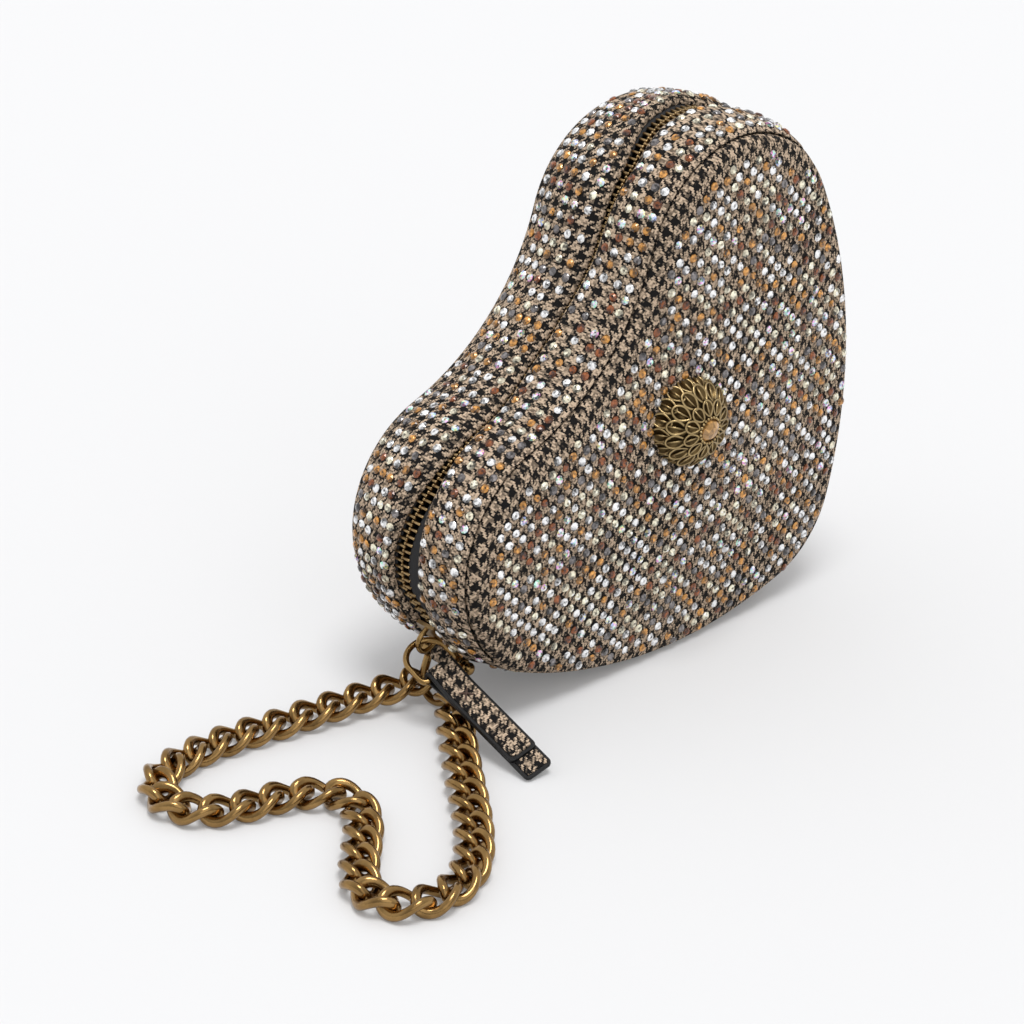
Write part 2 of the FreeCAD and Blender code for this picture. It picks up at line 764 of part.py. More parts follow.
pin_centre = tab_pose.multVec(Vector(0, 0, size("pin_rise")))
bow_reach = worth("bow_leg + bow_radius")
hang = math.acos(min(1.0, (pin_centre.z - size("bow_rest")) / bow_reach))
bow_line = Vector(-math.sin(hang), 0, -math.cos(hang))
across = Vector(0, 1, 0)
bow_pose = Placement(pin_centre, Rotation(bow_line, across, bow_line.cross(across), "XYZ"))
pin_pose = bow_pose * Placement(Vector(), Rotation(Vector(1, 0, 0), -90))
bow_bend = pin_centre + bow_line * bow_reach


def make_prism(radius, low, high):
    """An upright prism with the sides of the shackle pin."""
    corners = ring_corners([radius], PIN_SIDES)
    outline = flat_face([Vector(worth(x), worth(y), worth(low)) for x, y in corners])
    return outline.extrude(Vector(0, 0, worth(high) - worth(low)))


def make_shackle():
    """Horseshoe bow with an eye on each leg, and the pin with a knob on each end."""
    radius = size("bow_radius")
    start = worth("bow_wire / 2")
    arch = bend_points(Vector(size("bow_leg"), 0, 0), radius, -math.pi / 2, math.pi / 2, BEND_STEPS)
    points = [Vector(start, -radius, 0)] + arch + [Vector(start, radius, 0)]
    bow = make_wire(points, start, False)
    bow.Placement = pin_pose.inverse() * bow_pose
    inside, outside = "(bow_radius - bow_wire / 2)", "(bow_radius + bow_wire / 2)"
    for low, high in ((inside, outside), ("-" + outside, "-" + inside)):
        bow = bow.fuse(make_prism("pin_wire / 2 + bow_wire / 2", low, high))
    bow = bow.cut(make_prism("pin_wire / 2 + seam_gap / 2", "-bow_radius * 2", "bow_radius * 2"))
    add_solid("shackle_bow", bow.removeSplitter(), pin_pose)

    levels = [
        ("-%s - knob_length" % outside, ["knob_flat"], PIN_SIDES),
        ("-%s - knob_length / 2" % outside, ["knob_size / 2"], PIN_SIDES),
        ("-%s - seam_gap" % outside, ["pin_wire / 2"], PIN_SIDES),
        ("%s + seam_gap" % outside, ["pin_wire / 2"], PIN_SIDES),
        ("%s + knob_length / 2" % outside, ["knob_size / 2"], PIN_SIDES),
        ("%s + knob_length" % outside, ["knob_flat"], PIN_SIDES),
    ]
    add_facets("shackle_pin", levels, pin_pose)


CHAIN_NODES = ["chain_back_run", "chain_middle_run", "chain_front_run"]


def make_link(pitch):
    """A curb link: an oval of wire twisted so that its ends lie across each other."""
    reach = (pitch + size("link_wire") + size("link_play")) / 2
    half_width = worth("(link_width - link_wire) / 2")
    lift = size("link_lift")
    radius = worth("link_wire / 2")
    rings = []
    for step in range(LINK_STEPS):
        t = 2 * math.pi * step / LINK_STEPS
        centre = Vector(reach * math.cos(t), half_width * math.sin(t), lift * math.sin(2 * t))
        along = Vector(
            -reach * math.sin(t), half_width * math.cos(t), 2 * lift * math.cos(2 * t)
        ).normalize()
        up = (Vector(0, 0, 1) - along * along.z).normalize()
        side = along.cross(up)
        ring = []
        for corner in range(LINK_SIDES):
            angle = 2 * math.pi * corner / LINK_SIDES
            ring.append(centre + (up * math.cos(angle) + side * math.sin(angle)) * radius)
        rings.append(ring)
    faces = []
    for ring, following in zip(rings, rings[1:] + rings[:1]):
        for corner in range(LINK_SIDES):
            beside = (corner + 1) % LINK_SIDES
            a, b = ring[corner], ring[beside]
            c, d = following[beside], following[corner]
            faces.append(flat_face([a, b, c]))
            faces.append(flat_face([a, c, d]))
    return solid_of(faces)


def make_chain():
    """Links at even steps along the route, the end links raised onto the shackle."""
    route = Part.BSplineCurve()
    route.interpolate([Vector(bow_bend.x + x, y, 0) for x, y in CHAIN_ROUTE])
    end_rise = bow_bend.z + worth("end_over - link_rise")
    count = int(size("link_count"))
    pitch = route.length() / (count - 1)
    link = make_link(pitch)
    links = []
    for index in range(count):
        parameter = route.parameterAtDistance(pitch * index, route.FirstParameter)
        heading = route.tangent(parameter)[0]
        from_end = min(index, count - 1 - index)
        lift = size("link_rise") + end_rise * max(0.0, 1 - from_end / size("rise_links"))
        place = route.value(parameter) + Vector(0, 0, lift)
        copy = link.copy()
        copy.Placement = Placement(place, Rotation(Vector(1, 0, 0), heading))
        links.append(copy)
    share = math.ceil(count / len(CHAIN_NODES))
    for order, label in enumerate(CHAIN_NODES):
        run = links[order * share : (order + 1) * share]
        add_solid(label, Part.makeCompound(run), Placement())


# Medallion on the front panel


def make_medallion(foot):
    """Petalled boss with a cut stone, held by two flat prongs."""
    face = worth("%s + panel_crown" % foot)
    centre = Vector(size("medal_x"), size("medal_y"), face)
    pose = front_pose * Placement(centre, Rotation())
    corners = 2 * int(size("medal_petals"))
    rise_by_radius = [
        ("0", "medal_radius"),
        ("medal_thick", "medal_radius"),
        ("medal_dome", "medal_top"),
    ]
    levels = []
    for height, radius in rise_by_radius:
        levels.append((height, [radius, "(%s) * petal_waist" % radius], corners))
    add_facets("medallion", levels, pose)

    levels = [
        ("medal_dome", ["stone_radius"], STONE_SIDES),
        ("medal_dome + stone_girdle", ["stone_radius"], STONE_SIDES),
        ("medal_dome + stone_height", ["stone_table"], STONE_SIDES),
    ]
    add_facets("medallion_stone", levels, pose)

    width, thick = size("prong_width"), size("prong_thick")
    depth = worth("panel_crown - seam_gap")
    prongs = []
    for place in PRONG_PLACES:
        corner = Vector(worth(place) - centre.x - thick / 2, -width / 2, -depth)
        prongs.append(Part.makeBox(thick, width, depth, corner))
    add_solid("medallion_prongs", Part.makeCompound(prongs), pose)


# Everything is built, checked and written here


def write_nodes():
    """Write every node after checking that nothing in the document has failed."""
    doc.recompute()
    for item in doc.Objects:
        if {"Invalid", "Error"} & set(item.State):
            raise RuntimeError("%s has failed: %s" % (item.Label, item.State))
    os.makedirs("parts", exist_ok=True)
    for node in nodes:
        if node.Shape.isNull() or not node.Shape.isValid():
            raise RuntimeError("%s has no valid shape" % node.Label)
    for node in nodes:
        node.Shape.exportStep(os.path.join("parts", node.Label + ".step"))


def main():
    front_foot = "(front_seam - foot_drop)"
    back_foot = "(back_seam - foot_drop)"
    for side, pose, foot in (("front", front_pose, front_foot), ("back", back_pose, back_foot)):
        make_panel(side, pose, foot)
        make_zip_band(side, pose, foot)
    make_base(front_foot, back_foot)
    make_zip()
    make_slider()
    make_bail()
    make_puller_ring()
    make_strap()
    make_stitch()
    make_tab()
    make_shackle()
    make_chain()
    make_medallion(front_foot)
    write_nodes()


main()
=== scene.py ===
"""Heart shaped purse in houndstooth cloth and cut stones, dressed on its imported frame."""

import logging
import math
from contextlib import contextmanager
from dataclasses import dataclass, field
from enum import Enum
from typing import Callable, Iterable, Iterator, Sequence

import bpy
import numpy as np
from bpy.types import Material, Node, NodeSocket, Object
from mathutils import Matrix, Vector
from mathutils.bvhtree import BVHTree


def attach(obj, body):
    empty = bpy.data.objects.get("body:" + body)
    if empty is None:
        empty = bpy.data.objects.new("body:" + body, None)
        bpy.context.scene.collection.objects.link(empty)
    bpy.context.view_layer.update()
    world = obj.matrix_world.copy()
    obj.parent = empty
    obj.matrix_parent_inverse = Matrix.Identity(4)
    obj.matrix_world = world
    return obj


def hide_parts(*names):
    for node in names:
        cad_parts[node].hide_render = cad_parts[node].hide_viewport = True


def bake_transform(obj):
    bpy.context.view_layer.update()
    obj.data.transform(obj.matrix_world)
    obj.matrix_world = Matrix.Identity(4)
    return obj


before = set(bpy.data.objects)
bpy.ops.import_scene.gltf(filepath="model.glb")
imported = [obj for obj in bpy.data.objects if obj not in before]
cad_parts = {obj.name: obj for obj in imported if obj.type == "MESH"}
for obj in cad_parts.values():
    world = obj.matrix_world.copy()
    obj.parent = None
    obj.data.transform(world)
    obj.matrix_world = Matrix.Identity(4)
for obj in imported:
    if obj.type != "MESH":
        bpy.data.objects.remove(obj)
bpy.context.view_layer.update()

Colour = tuple[float, float, float]
Point = tuple[float, float, float]
Pair = tuple[float, float]
Profile = tuple[Pair, ...]
Spot = tuple[np.ndarray, np.ndarray]
MIRROR = np.array([1.0, -1.0])
log = logging.getLogger("purse")


class Side(Enum):
    """The two shells of the purse, with the sense in which their panels face the zip plane."""

    FRONT = 1
    BACK = -1

    @property
    def word(self) -> str:
        """The word that the shell's nodes start with."""
        return self.name.lower()

    @property
    def body(self) -> str:
        """The body that the shell rides on."""
        return self.word + "_shell"


class Stretch(Enum):
    """The two stretches of the seam outline, in order."""

    ZIP = "zip"
    BASE = "base"


# ---------------------------------------------------------------- mesh helpers


def pick(*pieces: Object) -> None:
    """Select some pieces alone and make the first of them active.

    Args:
        pieces: The objects that the next operator works on.
    """
    bpy.ops.object.select_all(action="DESELECT")
    for piece in pieces:
        piece.select_set(True)
    bpy.context.view_layer.objects.active = pieces[0]


def added(name: str) -> Object:
    """Name the active object, which an operator has just made.

    Args:
        name: The piece's plain name.

    Returns:
        The object.
    """
    piece = bpy.context.view_layer.objects.active
    piece.name = name
    piece.data.name = name
    return piece


def primitive(
    name: str, add: Callable, stretch: Point | None = None, /, **settings: object
) -> Object:
    """Add a primitive alone and put its place and size into its mesh.

    Args:
        name: The piece's plain name.
        add: The operator that adds it.
        stretch: How far it is stretched along each axis, if at all.
        settings: The operator's own settings.

    Returns:
        The new object, at the origin and unscaled.
    """
    bpy.ops.object.select_all(action="DESELECT")
    add(**settings)
    piece = added(name)
    if stretch is not None:
        bpy.ops.transform.resize(value=stretch)
    bpy.ops.object.transform_apply(location=True, rotation=True, scale=True)
    return piece


@contextmanager
def editing(piece: Object) -> Iterator[None]:
    """Hold a piece in edit mode with all of it selected.

    Args:
        piece: The object that the operators within shape.

    Returns:
        The context in which they run.
    """
    pick(piece)
    bpy.ops.object.mode_set(mode="EDIT")
    bpy.ops.mesh.select_all(action="SELECT")
    yield
    bpy.ops.object.mode_set(mode="OBJECT")


def modify(piece: Object, kind: str, **settings: object) -> Object:
    """Give a piece a modifier and apply it.

    Args:
        piece: The object to shape.
        kind: The modifier's type.
        settings: The modifier's properties.

    Returns:
        The same object.
    """
    modifier = piece.modifiers.new(kind.lower(), kind)
    for name, value in settings.items():
        setattr(modifier, name, value)
    pick(piece)
    bpy.ops.object.modifier_apply(modifier=modifier.name)
    return piece


def thicken(piece: Object, thickness: float, offset: float = -1.0) -> Object:
    """Give a sheet a thickness: behind its faces at offset -1, to both sides of them at 0."""
    return modify(piece, "SOLIDIFY", thickness=thickness, offset=offset, use_rim=True)


def smooth(piece: Object, angle: float = 180.0) -> Object:
    """Shade a piece smoothly below an angle between faces.

    Args:
        piece: The object to shade.
        angle: The angle in degrees.

    Returns:
        The same object.
    """
    pick(piece)
    bpy.ops.object.shade_smooth_by_angle(angle=math.radians(angle))
    return piece


def round_edges(piece: Object, width: float) -> None:
    """Round the sharp edges of a piece.

    Args:
        piece: The object.
        width: Width of the rounding.
    """
    sharp = math.radians(50.0)
    modify(piece, "BEVEL", width=width, segments=2, limit_method="ANGLE", angle_limit=sharp)
    smooth(piece, 40.0)


def join(name: str, pieces: Sequence[Object]) -> Object:
    """Join pieces into one object.

    Args:
        name: The joined piece's name.
        pieces: The objects to join; their meshes hold their places.

    Returns:
        The joined object.
    """
    pick(*pieces)
    bpy.ops.object.join()
    return added(name)


def mesh_piece(
    name: str, points: np.ndarray, faces: Iterable[Sequence[int]], uvs: np.ndarray | None = None
) -> Object:
    """Make an object from points and faces.

    Args:
        name: The piece's name.
        points: One row of three numbers for each point.
        faces: Point numbers of each face.
        uvs: One pair for each face corner, in the order of the faces.

    Returns:
        The new object in the scene.
    """
    mesh = bpy.data.meshes.new(name)
    mesh.from_pydata(points.tolist(), [], [list(face) for face in faces])
    if uvs is not None:
        layer = mesh.uv_layers.new(name="cloth")
        layer.data.foreach_set("uv", uvs.astype(np.float32).ravel())
    mesh.update()
    piece = bpy.data.objects.new(name, mesh)
    bpy.context.scene.collection.objects.link(piece)
    return piece


def skin(name: str, grid: np.ndarray, uv: np.ndarray, flip: bool = False) -> Object:
    """Make an open sheet of quads over a grid of points.

    Args:
        name: The piece's name.
        grid: Points by row and column.
        uv: Cloth coordinates by row and column.
        flip: Turn the faces round.

    Returns:
        The sheet.
    """
    rows, columns = grid.shape[:2]
    row, column = np.meshgrid(np.arange(rows - 1), np.arange(columns - 1), indexing="ij")
    first = (row * columns + column).ravel()
    quads = np.stack([first, first + 1, first + columns + 1, first + columns], axis=1)
    if flip:
        quads = quads[:, ::-1]
    return mesh_piece(name, grid.reshape(-1, 3), quads, uv.reshape(-1, 2)[quads.ravel()])


def lengths(line: np.ndarray) -> np.ndarray:
    """Distance along a line at each of its points."""
    return np.append(0.0, np.cumsum(np.linalg.norm(np.diff(line, axis=0), axis=1)))


def strip(
    name: str, line: np.ndarray, along: np.ndarray, half: np.ndarray, flip: bool = False
) -> Object:
    """Make a strip of sheet along a line that has no width.

    Args:
        name: The piece's name.
        line: Pairs along the strip and above it.
        along: Distance along the line at each pair.
        half: Half the strip's width at each pair.
        flip: Turn the faces round.

    Returns:
        The strip as an open sheet.
    """
    y = half[:, None] * np.linspace(-1.0, 1.0, 9)[None, :]
    x, z, run = (np.broadcast_to(row[:, None], y.shape) for row in (*line.T, along))
    return skin(name, np.stack([x, y, z], axis=-1), np.stack([y, run], axis=-1), flip)


def bend(centre: Pair, radius: float, start: float, end: float, count: int) -> list[Pair]:
    """Points along a bend of a wire or a strip.

    Args:
        centre: Middle of the bend.
        radius: Its radius.
        start: First direction in degrees.
        end: Last direction in degrees.
        count: How many points.

    Returns:
        Pairs of coordinates.
    """
    turns = np.radians(np.linspace(start, end, count))
    return [(centre[0] + radius * math.cos(a), centre[1] + radius * math.sin(a)) for a in turns]


def wire_piece(name: str, points: Sequence[Point], radius: float, closed: bool) -> Object:
    """Bend a round wire along a smooth run of points.

    Args:
        name: The piece's name.
        points: Points that the middle of the wire passes.
        radius: Half the wire's thickness.
        closed: Whether the wire is a ring.

    Returns:
        The wire as a mesh.
    """
    curve = bpy.data.curves.new(name, "CURVE")
    curve.dimensions = "3D"
    curve.bevel_depth = radius
    curve.bevel_resolution = 4
    curve.resolution_u = 8
    curve.use_fill_caps = True
    spline = curve.splines.new("BEZIER")
    spline.bezier_points.add(len(points) - 1)
    for knot, place in zip(spline.bezier_points, points):
        knot.co = place
        knot.handle_left_type = "AUTO"
        knot.handle_right_type = "AUTO"
    spline.use_cyclic_u = closed
    wire = bpy.data.objects.new(name, curve)
    bpy.context.scene.collection.objects.link(wire)
    pick(wire)
    bpy.ops.object.convert(target="MESH")
    return smooth(added(name))


def block(name: str, size: Point, place: Point, bevel: float) -> Object:
    """Make a block with chamfered edges.

    Args:
        name: The piece's name.
        size: Its three lengths.
        place: Its middle.
        bevel: Width of its chamfers.

    Returns:
        The block, with its place in its mesh.
    """
    piece = primitive(name, bpy.ops.mesh.primitive_cube_add, size, size=1.0, location=place)
    return smooth(modify(piece, "BEVEL", width=bevel, segments=1), 40.0)


def scatter(name: str, shape: Object, poses: Sequence[Matrix]) -> Object:
    """Set copies of a shape at many poses as one piece, and remove the shape.

    Args:
        name: The piece's name.
        shape: The shape, modelled at the origin.
        poses: Where the copies go.

    Returns:
        The piece.
    """
    points = np.array([vertex.co for vertex in shape.data.vertices])
    faces = [list(face.vertices) for face in shape.data.polygons]
    slots = [face.material_index for face in shape.data.polygons]
    soft = [face.use_smooth for face in shape.data.polygons]
    placed = [points @ np.array(pose.to_3x3()).T + np.array(pose.translation) for pose in poses]
    polygons = []
    for order in range(len(poses)):
        start = order * len(points)
        polygons.extend([[start + corner for corner in face] for face in faces])
    piece = mesh_piece(name, np.concatenate(placed), polygons)
    dress(piece, *shape.data.materials)
    piece.data.polygons.foreach_set("material_index", slots * len(poses))
    piece.data.polygons.foreach_set("use_smooth", soft * len(poses))
    bpy.data.objects.remove(shape)
    return piece


def dress(piece: Object, *finishes: Material) -> None:
    """Give a piece its materials in place of those it has.

    Args:
        piece: The object.
        finishes: Materials in the order of its slots.
    """
    piece.data.materials.clear()
    for finish in finishes:
        piece.data.materials.append(finish)


def dress_node(name: str, finish: Material) -> None:
    """Give a CAD node that is shown as it is its material.

    Args:
        name: The node's name.
        finish: Its material.
    """
    dress(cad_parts[name], finish)
    log.info("%s dressed", name)


def axes(x: Iterable, y: Iterable, z: Iterable, origin: Iterable) -> Matrix:
    """Make a frame.

    Args:
        x: Its first axis.
        y: Its second axis.
        z: Its third axis.
        origin: Its origin.

    Returns:
        The frame's matrix.
    """
    matrix = Matrix.Identity(4)
    for column, vector in enumerate((x, y, z, origin)):
        matrix.col[column] = (*vector, float(column == 3))
    return matrix


def seat(piece: Object, pose: Matrix) -> None:
    """Put a piece's place into its mesh.

    Args:
        piece: The object, modelled at the origin.
        pose: Where it goes in the part's frame.
    """
    piece.data.transform(pose @ piece.matrix_world)
    piece.matrix_world = Matrix.Identity(4)
    if pose.determinant() < 0:
        piece.data.flip_normals()


def settle(piece: Object, node: str = "", body: str = "") -> None:
    """Say what a piece rides on and which node it stands for.

    Args:
        piece: The finished piece.
        node: The node that it replaces, if any.
        body: The body that it rides on; left empty for a piece that spans two.
    """
    if body:
        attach(piece, body)
    if node:
        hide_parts(node)
    log.info("%s built", piece.name)


def mount(piece: Object, pose: Matrix, finish: Material, node: str, body: str) -> None:
    """Seat a piece that was modelled at the origin, dress it and settle it.

    Args:
        piece: The piece at the origin.
        pose: Its frame.
        finish: Its material.
        node: The node that it replaces.
        body: The body that it rides on.
    """
    seat(piece, pose)
    dress(piece, finish)
    settle(piece, node, body)


# ---------------------------------------------------------------- materials


class Recipe:
    """The node tree of one material, with a Principled shader at its end."""

    def __init__(self, name: str) -> None:
        """Start a material.

        Args:
            name: The finish's plain name.
        """
        self.material = bpy.data.materials.new(name)
        self.material.use_nodes = True
        self.tree = self.material.node_tree
        self.shader = self.tree.nodes["Principled BSDF"]

    def node(self, kind: str, inputs: dict | None = None, **settings: object) -> Node:
        """Add a node.

        Args:
            kind: The node's type without its prefix.
            inputs: Sockets or values for its inputs, by name or number.
            settings: Properties of the node.

        Returns:
            The node.
        """
        node = self.tree.nodes.new("ShaderNode" + kind)
        for name, value in settings.items():
            setattr(node, name, value)
        for key, value in (inputs or {}).items():
            self.put(node.inputs[key], value)
        return node

    def put(self, target: NodeSocket, value: object) -> None:
        """Feed a socket.

        Args:
            target: The socket.
            value: Another socket, a number, a vector, or a colour without its alpha.
        """
        if isinstance(value, NodeSocket):
            self.tree.links.new(value, target)
        else:
            target.default_value = (*value, 1.0) if target.type == "RGBA" else value

    def set(self, **values: object) -> None:
        """Feed the shader's sockets by name, with _ for a space.

        Args:
            values: Sockets or values.
        """
        for name, value in values.items():
            self.put(self.shader.inputs[name.replace("_", " ")], value)

    def math(
        self, operation: str, first: object, second: object = 0.0, third: object = 0.0
    ) -> NodeSocket:
        """Work out a number.

        Args:
            operation: The Math node's operation.
            first: A socket or a number.
            second: A socket or a number.
            third: A socket or a number.

        Returns:
            The result's socket.
        """
        return self.node("Math", {0: first, 1: second, 2: third}, operation=operation).outputs[0]

    def ramp(
        self, value: NodeSocket, source: Pair, target: Pair, kind: str = "LINEAR"
    ) -> NodeSocket:
        """Map one range of numbers to another.

        Args:
            value: The number's socket.
            source: Where the result starts to change, and where it ends.
            target: The result there.
            kind: How it changes between them.

        Returns:
            The result's socket.
        """
        names = ("Value", "From Min", "From Max", "To Min", "To Max")
        inputs = dict(zip(names, (value, *source, *target)))
        return self.node("MapRange", inputs, interpolation_type=kind).outputs[0]

    def mix(self, share: object, first: object, second: object) -> NodeSocket:
        """Mix two colours, with a share of the second."""
        inputs = {"Factor": share, 6: first, 7: second}
        return self.node("Mix", inputs, data_type="RGBA").outputs[2]

    def shaded(self, colour: object, shade: NodeSocket) -> NodeSocket:
        """Multiply a colour by a shade."""
        inputs = {"Factor": 1.0, 6: colour, 7: shade}
        return self.node("Mix", inputs, data_type="RGBA", blend_type="MULTIPLY").outputs[2]

    def noise(self, vector: NodeSocket, scale: float, detail: float = 2.0) -> Node:
        """Soft noise between 0 and 1, with its scale in features to the metre."""
        return self.node("TexNoise", {"Vector": vector, "Scale": scale, "Detail": detail})

    def place(self) -> NodeSocket:
        """The Object coordinates, which are the part's own frame."""
        return self.node("TexCoord").outputs["Object"]

    def cloth(self) -> NodeSocket:
        """The piece's cloth coordinates, in metres."""
        return self.node("UVMap", uv_map="cloth").outputs["UV"]

    def ridges(self, vector: NodeSocket, threads: float) -> NodeSocket:
        """Height of a weave's threads.

        Args:
            vector: The cloth's coordinates.
            threads: Threads to a unit of them.

        Returns:
            The height's socket, 0 to 1.
        """
        split = self.node("SeparateXYZ", {0: vector}).outputs
        turns = [self.math("MULTIPLY", split[axis], threads * math.pi) for axis in (0, 1)]
        waves = [self.math("SINE", turn) for turn in turns]
        return self.math("ABSOLUTE", self.math("MULTIPLY", *waves))

    def bump(self, height: NodeSocket, strength: float, distance: float) -> None:
        """Raise the surface.

        Args:
            height: The height's socket, 0 to 1.
            strength: The bump's strength.
            distance: The height of 1 in metres.
        """
        inputs = {"Strength": strength, "Distance": distance, "Height": height}
        self.set(Normal=self.node("Bump", inputs).outputs["Normal"])


class SkyRecipe(Recipe):
    """The node tree of the world, with a Background shader at its end."""

    def __init__(self, name: str) -> None:
        """Start a world and give it to the scene.

        Args:
            name: The world's plain name.
        """
        world = bpy.data.worlds.new(name)
        world.use_nodes = True
        bpy.context.scene.world = world
        self.tree = world.node_tree
        self.shader = self.tree.nodes["Background"]


@dataclass(frozen=True)
class Houndstooth:
    """Woollen cloth in a two and two twill of four dark and four light threads."""

    name: str
    repeat: float = 0.0040
    threads: float = 8.0
    dark: Colour = (0.0085, 0.0076, 0.0074)
    light: Colour = (0.560, 0.425, 0.305)
    stray: float = 0.09
    stray_scale: float = 1500.0
    wool_scale: float = 5200.0
    relief: float = 0.00016

    def material(self) -> Material:
        """Build the cloth.

        Returns:
            The material, on the piece's cloth coordinates in metres.
        """
        make = Recipe(self.name)
        uv = make.cloth()
        stray = make.noise(uv, self.stray_scale).outputs["Color"]
        reach = (self.repeat * self.stray,) * 3
        moved = make.node("VectorMath", {0: stray, 1: reach, 2: uv}, operation="MULTIPLY_ADD")
        inputs = {0: moved.outputs[0], "Scale": self.threads / self.repeat}
        counted = make.node("VectorMath", inputs, operation="SCALE").outputs[0]
        split = make.node("SeparateXYZ", {0: counted}).outputs
        warp, weft = (make.math("FLOOR", split[axis]) for axis in (0, 1))
        twill = make.math("FLOORED_MODULO", make.math("ADD", warp, weft), self.threads / 2)
        warp_up = make.math("LESS_THAN", twill, 1.5)
        bars = [make.math("FLOORED_MODULO", way, self.threads) for way in (weft, warp)]
        darks = [make.math("LESS_THAN", bar, 3.5) for bar in bars]
        inputs = {"Factor": warp_up, 2: darks[0], 3: darks[1]}
        dark = make.node("Mix", inputs, data_type="FLOAT").outputs[0]
        cell = make.node("CombineXYZ", {0: warp, 1: weft}).outputs[0]
        fleck = make.node("TexWhiteNoise", {"Vector": cell}, noise_dimensions="2D").outputs["Value"]
        wool = make.noise(uv, self.wool_scale, 3.0).outputs["Fac"]
        # Random thread cells of the tan go dark: painted thread shadows, along with the yarn's own
        # uneven tone
        bright = make.ramp(fleck, (0.22, 0.72), (0.27, 1.05))
        shade = make.math("MULTIPLY", bright, make.math("MULTIPLY_ADD", wool, 0.6, 0.7))
        fuzz = make.ramp(fleck, (0.86, 1.0), (0.0, 0.35))
        black = make.mix(fuzz, self.dark, self.light)
        tone = make.mix(dark, make.shaded(self.light, shade), black)
        make.set(Base_Color=tone, Roughness=0.86, Specular_IOR_Level=0.15)
        make.bump(make.math("ADD", make.ridges(counted, 1.0), wool), 0.6, self.relief)
        return make.material


@dataclass(frozen=True)
class PlainWeave:
    """Plain woven cloth or webbing."""

    name: str
    colour: Colour
    threads: float = 2200.0
    roughness: float = 0.82
    fleck: float = 1.8

    def material(self) -> Material:
        """Build the cloth.

        Returns:
            The material, on the piece's cloth coordinates in metres.
        """
        make = Recipe(self.name)
        uv = make.cloth()
        pale = tuple(self.fleck * value for value in self.colour)
        tone = make.mix(make.noise(uv, 1500.0).outputs["Fac"], self.colour, pale)
        make.set(Base_Color=tone, Roughness=self.roughness)
        make.bump(make.ridges(uv, self.threads), 0.6, 0.0001)
        return make.material


@dataclass(frozen=True)
class Leather:
    """Smooth black leather with a fine grain."""

    name: str = "strap leather"
    colour: Colour = (0.006, 0.006, 0.0065)
    worn: Colour = (0.014, 0.0135, 0.0135)
    grain: float = 2600.0

    def material(self) -> Material:
        """Build the leather.

        Returns:
            The material, on the part's frame.
        """
        make = Recipe(self.name)
        place = make.place()
        inputs = {"Scale": self.grain, "Vector": place}
        grain = make.node("TexVoronoi", inputs, feature="DISTANCE_TO_EDGE")
        wear = make.noise(place, 420.0, 4.0).outputs["Fac"]
        tone = make.mix(wear, self.colour, self.worn)
        rough = make.math("MULTIPLY_ADD", wear, 0.3, 0.36)
        make.set(Base_Color=tone, Roughness=rough, Specular_IOR_Level=0.22)
        make.bump(grain.outputs["Distance"], 0.35, 0.0004)
        return make.material


@dataclass(frozen=True)
class Brass:
    """Antique brass, with a dark patina that wear has rubbed off in places."""

    name: str
    bright: Colour = (0.330, 0.205, 0.078)
    dark: Colour = (0.085, 0.046, 0.016)
    patina: float = 0.45
    roughness: float = 0.27

    def material(self) -> Material:
        """Build the metal.

        Returns:
            The material, on the part's frame.
        """
        make = Recipe(self.name)
        place = make.place()
        cloud = make.noise(place, 210.0, 4.0).outputs["Fac"]
        speck = make.noise(place, 1700.0, 3.0).outputs["Fac"]
        tarnish = make.ramp(cloud, (0.38, 0.72), (0.0, self.patina))
        tone = make.mix(tarnish, self.bright, self.dark)
        rough = make.math("MULTIPLY_ADD", speck, 0.22, self.roughness - 0.09)
        make.set(Base_Color=tone, Metallic=1.0, Roughness=rough)
        make.bump(speck, 0.08, 0.0003)
        return make.material


@dataclass(frozen=True)
class CutGlass:
    """Foiled cut glass; each facet carries its tint and a painted reflection level in an attribute.
    """

    name: str
    metallic: float = 0.35
    roughness: float = 0.14

    def material(self) -> Material:
        """Build the glass.

        Returns:
            The material, coloured by the facet attribute.
        """
        make = Recipe(self.name)
        # The facet attribute holds each facet's tint with its painted reflections
        tint = make.node("Attribute", attribute_name="facet").outputs["Color"]
        cloud = make.noise(make.place(), 2600.0, 1.0).outputs["Fac"]
        tone = make.shaded(tint, make.math("MULTIPLY_ADD", cloud, 0.5, 0.75))
        make.set(Base_Color=tone, Metallic=self.metallic, Roughness=self.roughness)
        make.set(Coat_Weight=0.7, Coat_Roughness=0.05)
        return make.material


@dataclass(frozen=True)
class PlainStock:
    """Board, thread or floor: one colour with a soft mottle, and a glow for rays that see it."""

    name: str
    colour: Colour
    roughness: float
    mottle: float = 600.0
    spread: float = 0.12
    glow: float = 0.0

    def material(self) -> Material:
        """Build the surface.

        Returns:
            The material, on the part's frame.
        """
        make = Recipe(self.name)
        cloud = make.noise(make.place(), self.mottle, 3.0).outputs["Fac"]
        low = tuple(value * (1.0 - self.spread) for value in self.colour)
        make.set(Base_Color=make.mix(cloud, self.colour, low), Roughness=self.roughness)
        if self.glow:
            seen = make.node("LightPath").outputs
            rays = make.math("MAXIMUM", seen["Is Camera Ray"], seen["Is Glossy Ray"])
            rays = make.math("MAXIMUM", rays, seen["Is Transmission Ray"])
            strength = make.math("MULTIPLY", rays, self.glow)
            make.set(Emission_Color=(1.0, 1.0, 1.0), Emission_Strength=strength)
        make.bump(cloud, 0.2, 0.0001)
        return make.material


# ---------------------------------------------------------------- seam outline


@dataclass
class OutlineRun:
    """Points along a stretch of the seam outline, which can be moved inwards."""

    centre: np.ndarray
    radius: np.ndarray
    angle: np.ndarray
    sense: np.ndarray
    along: np.ndarray

    def at(self, inset: float) -> np.ndarray:
        """Heart coordinates of the run moved inwards, or outwards where inset is negative."""
        reach = (self.radius - self.sense * inset)[:, None]
        return self.centre + reach * np.stack([np.cos(self.angle), np.sin(self.angle)], axis=1)


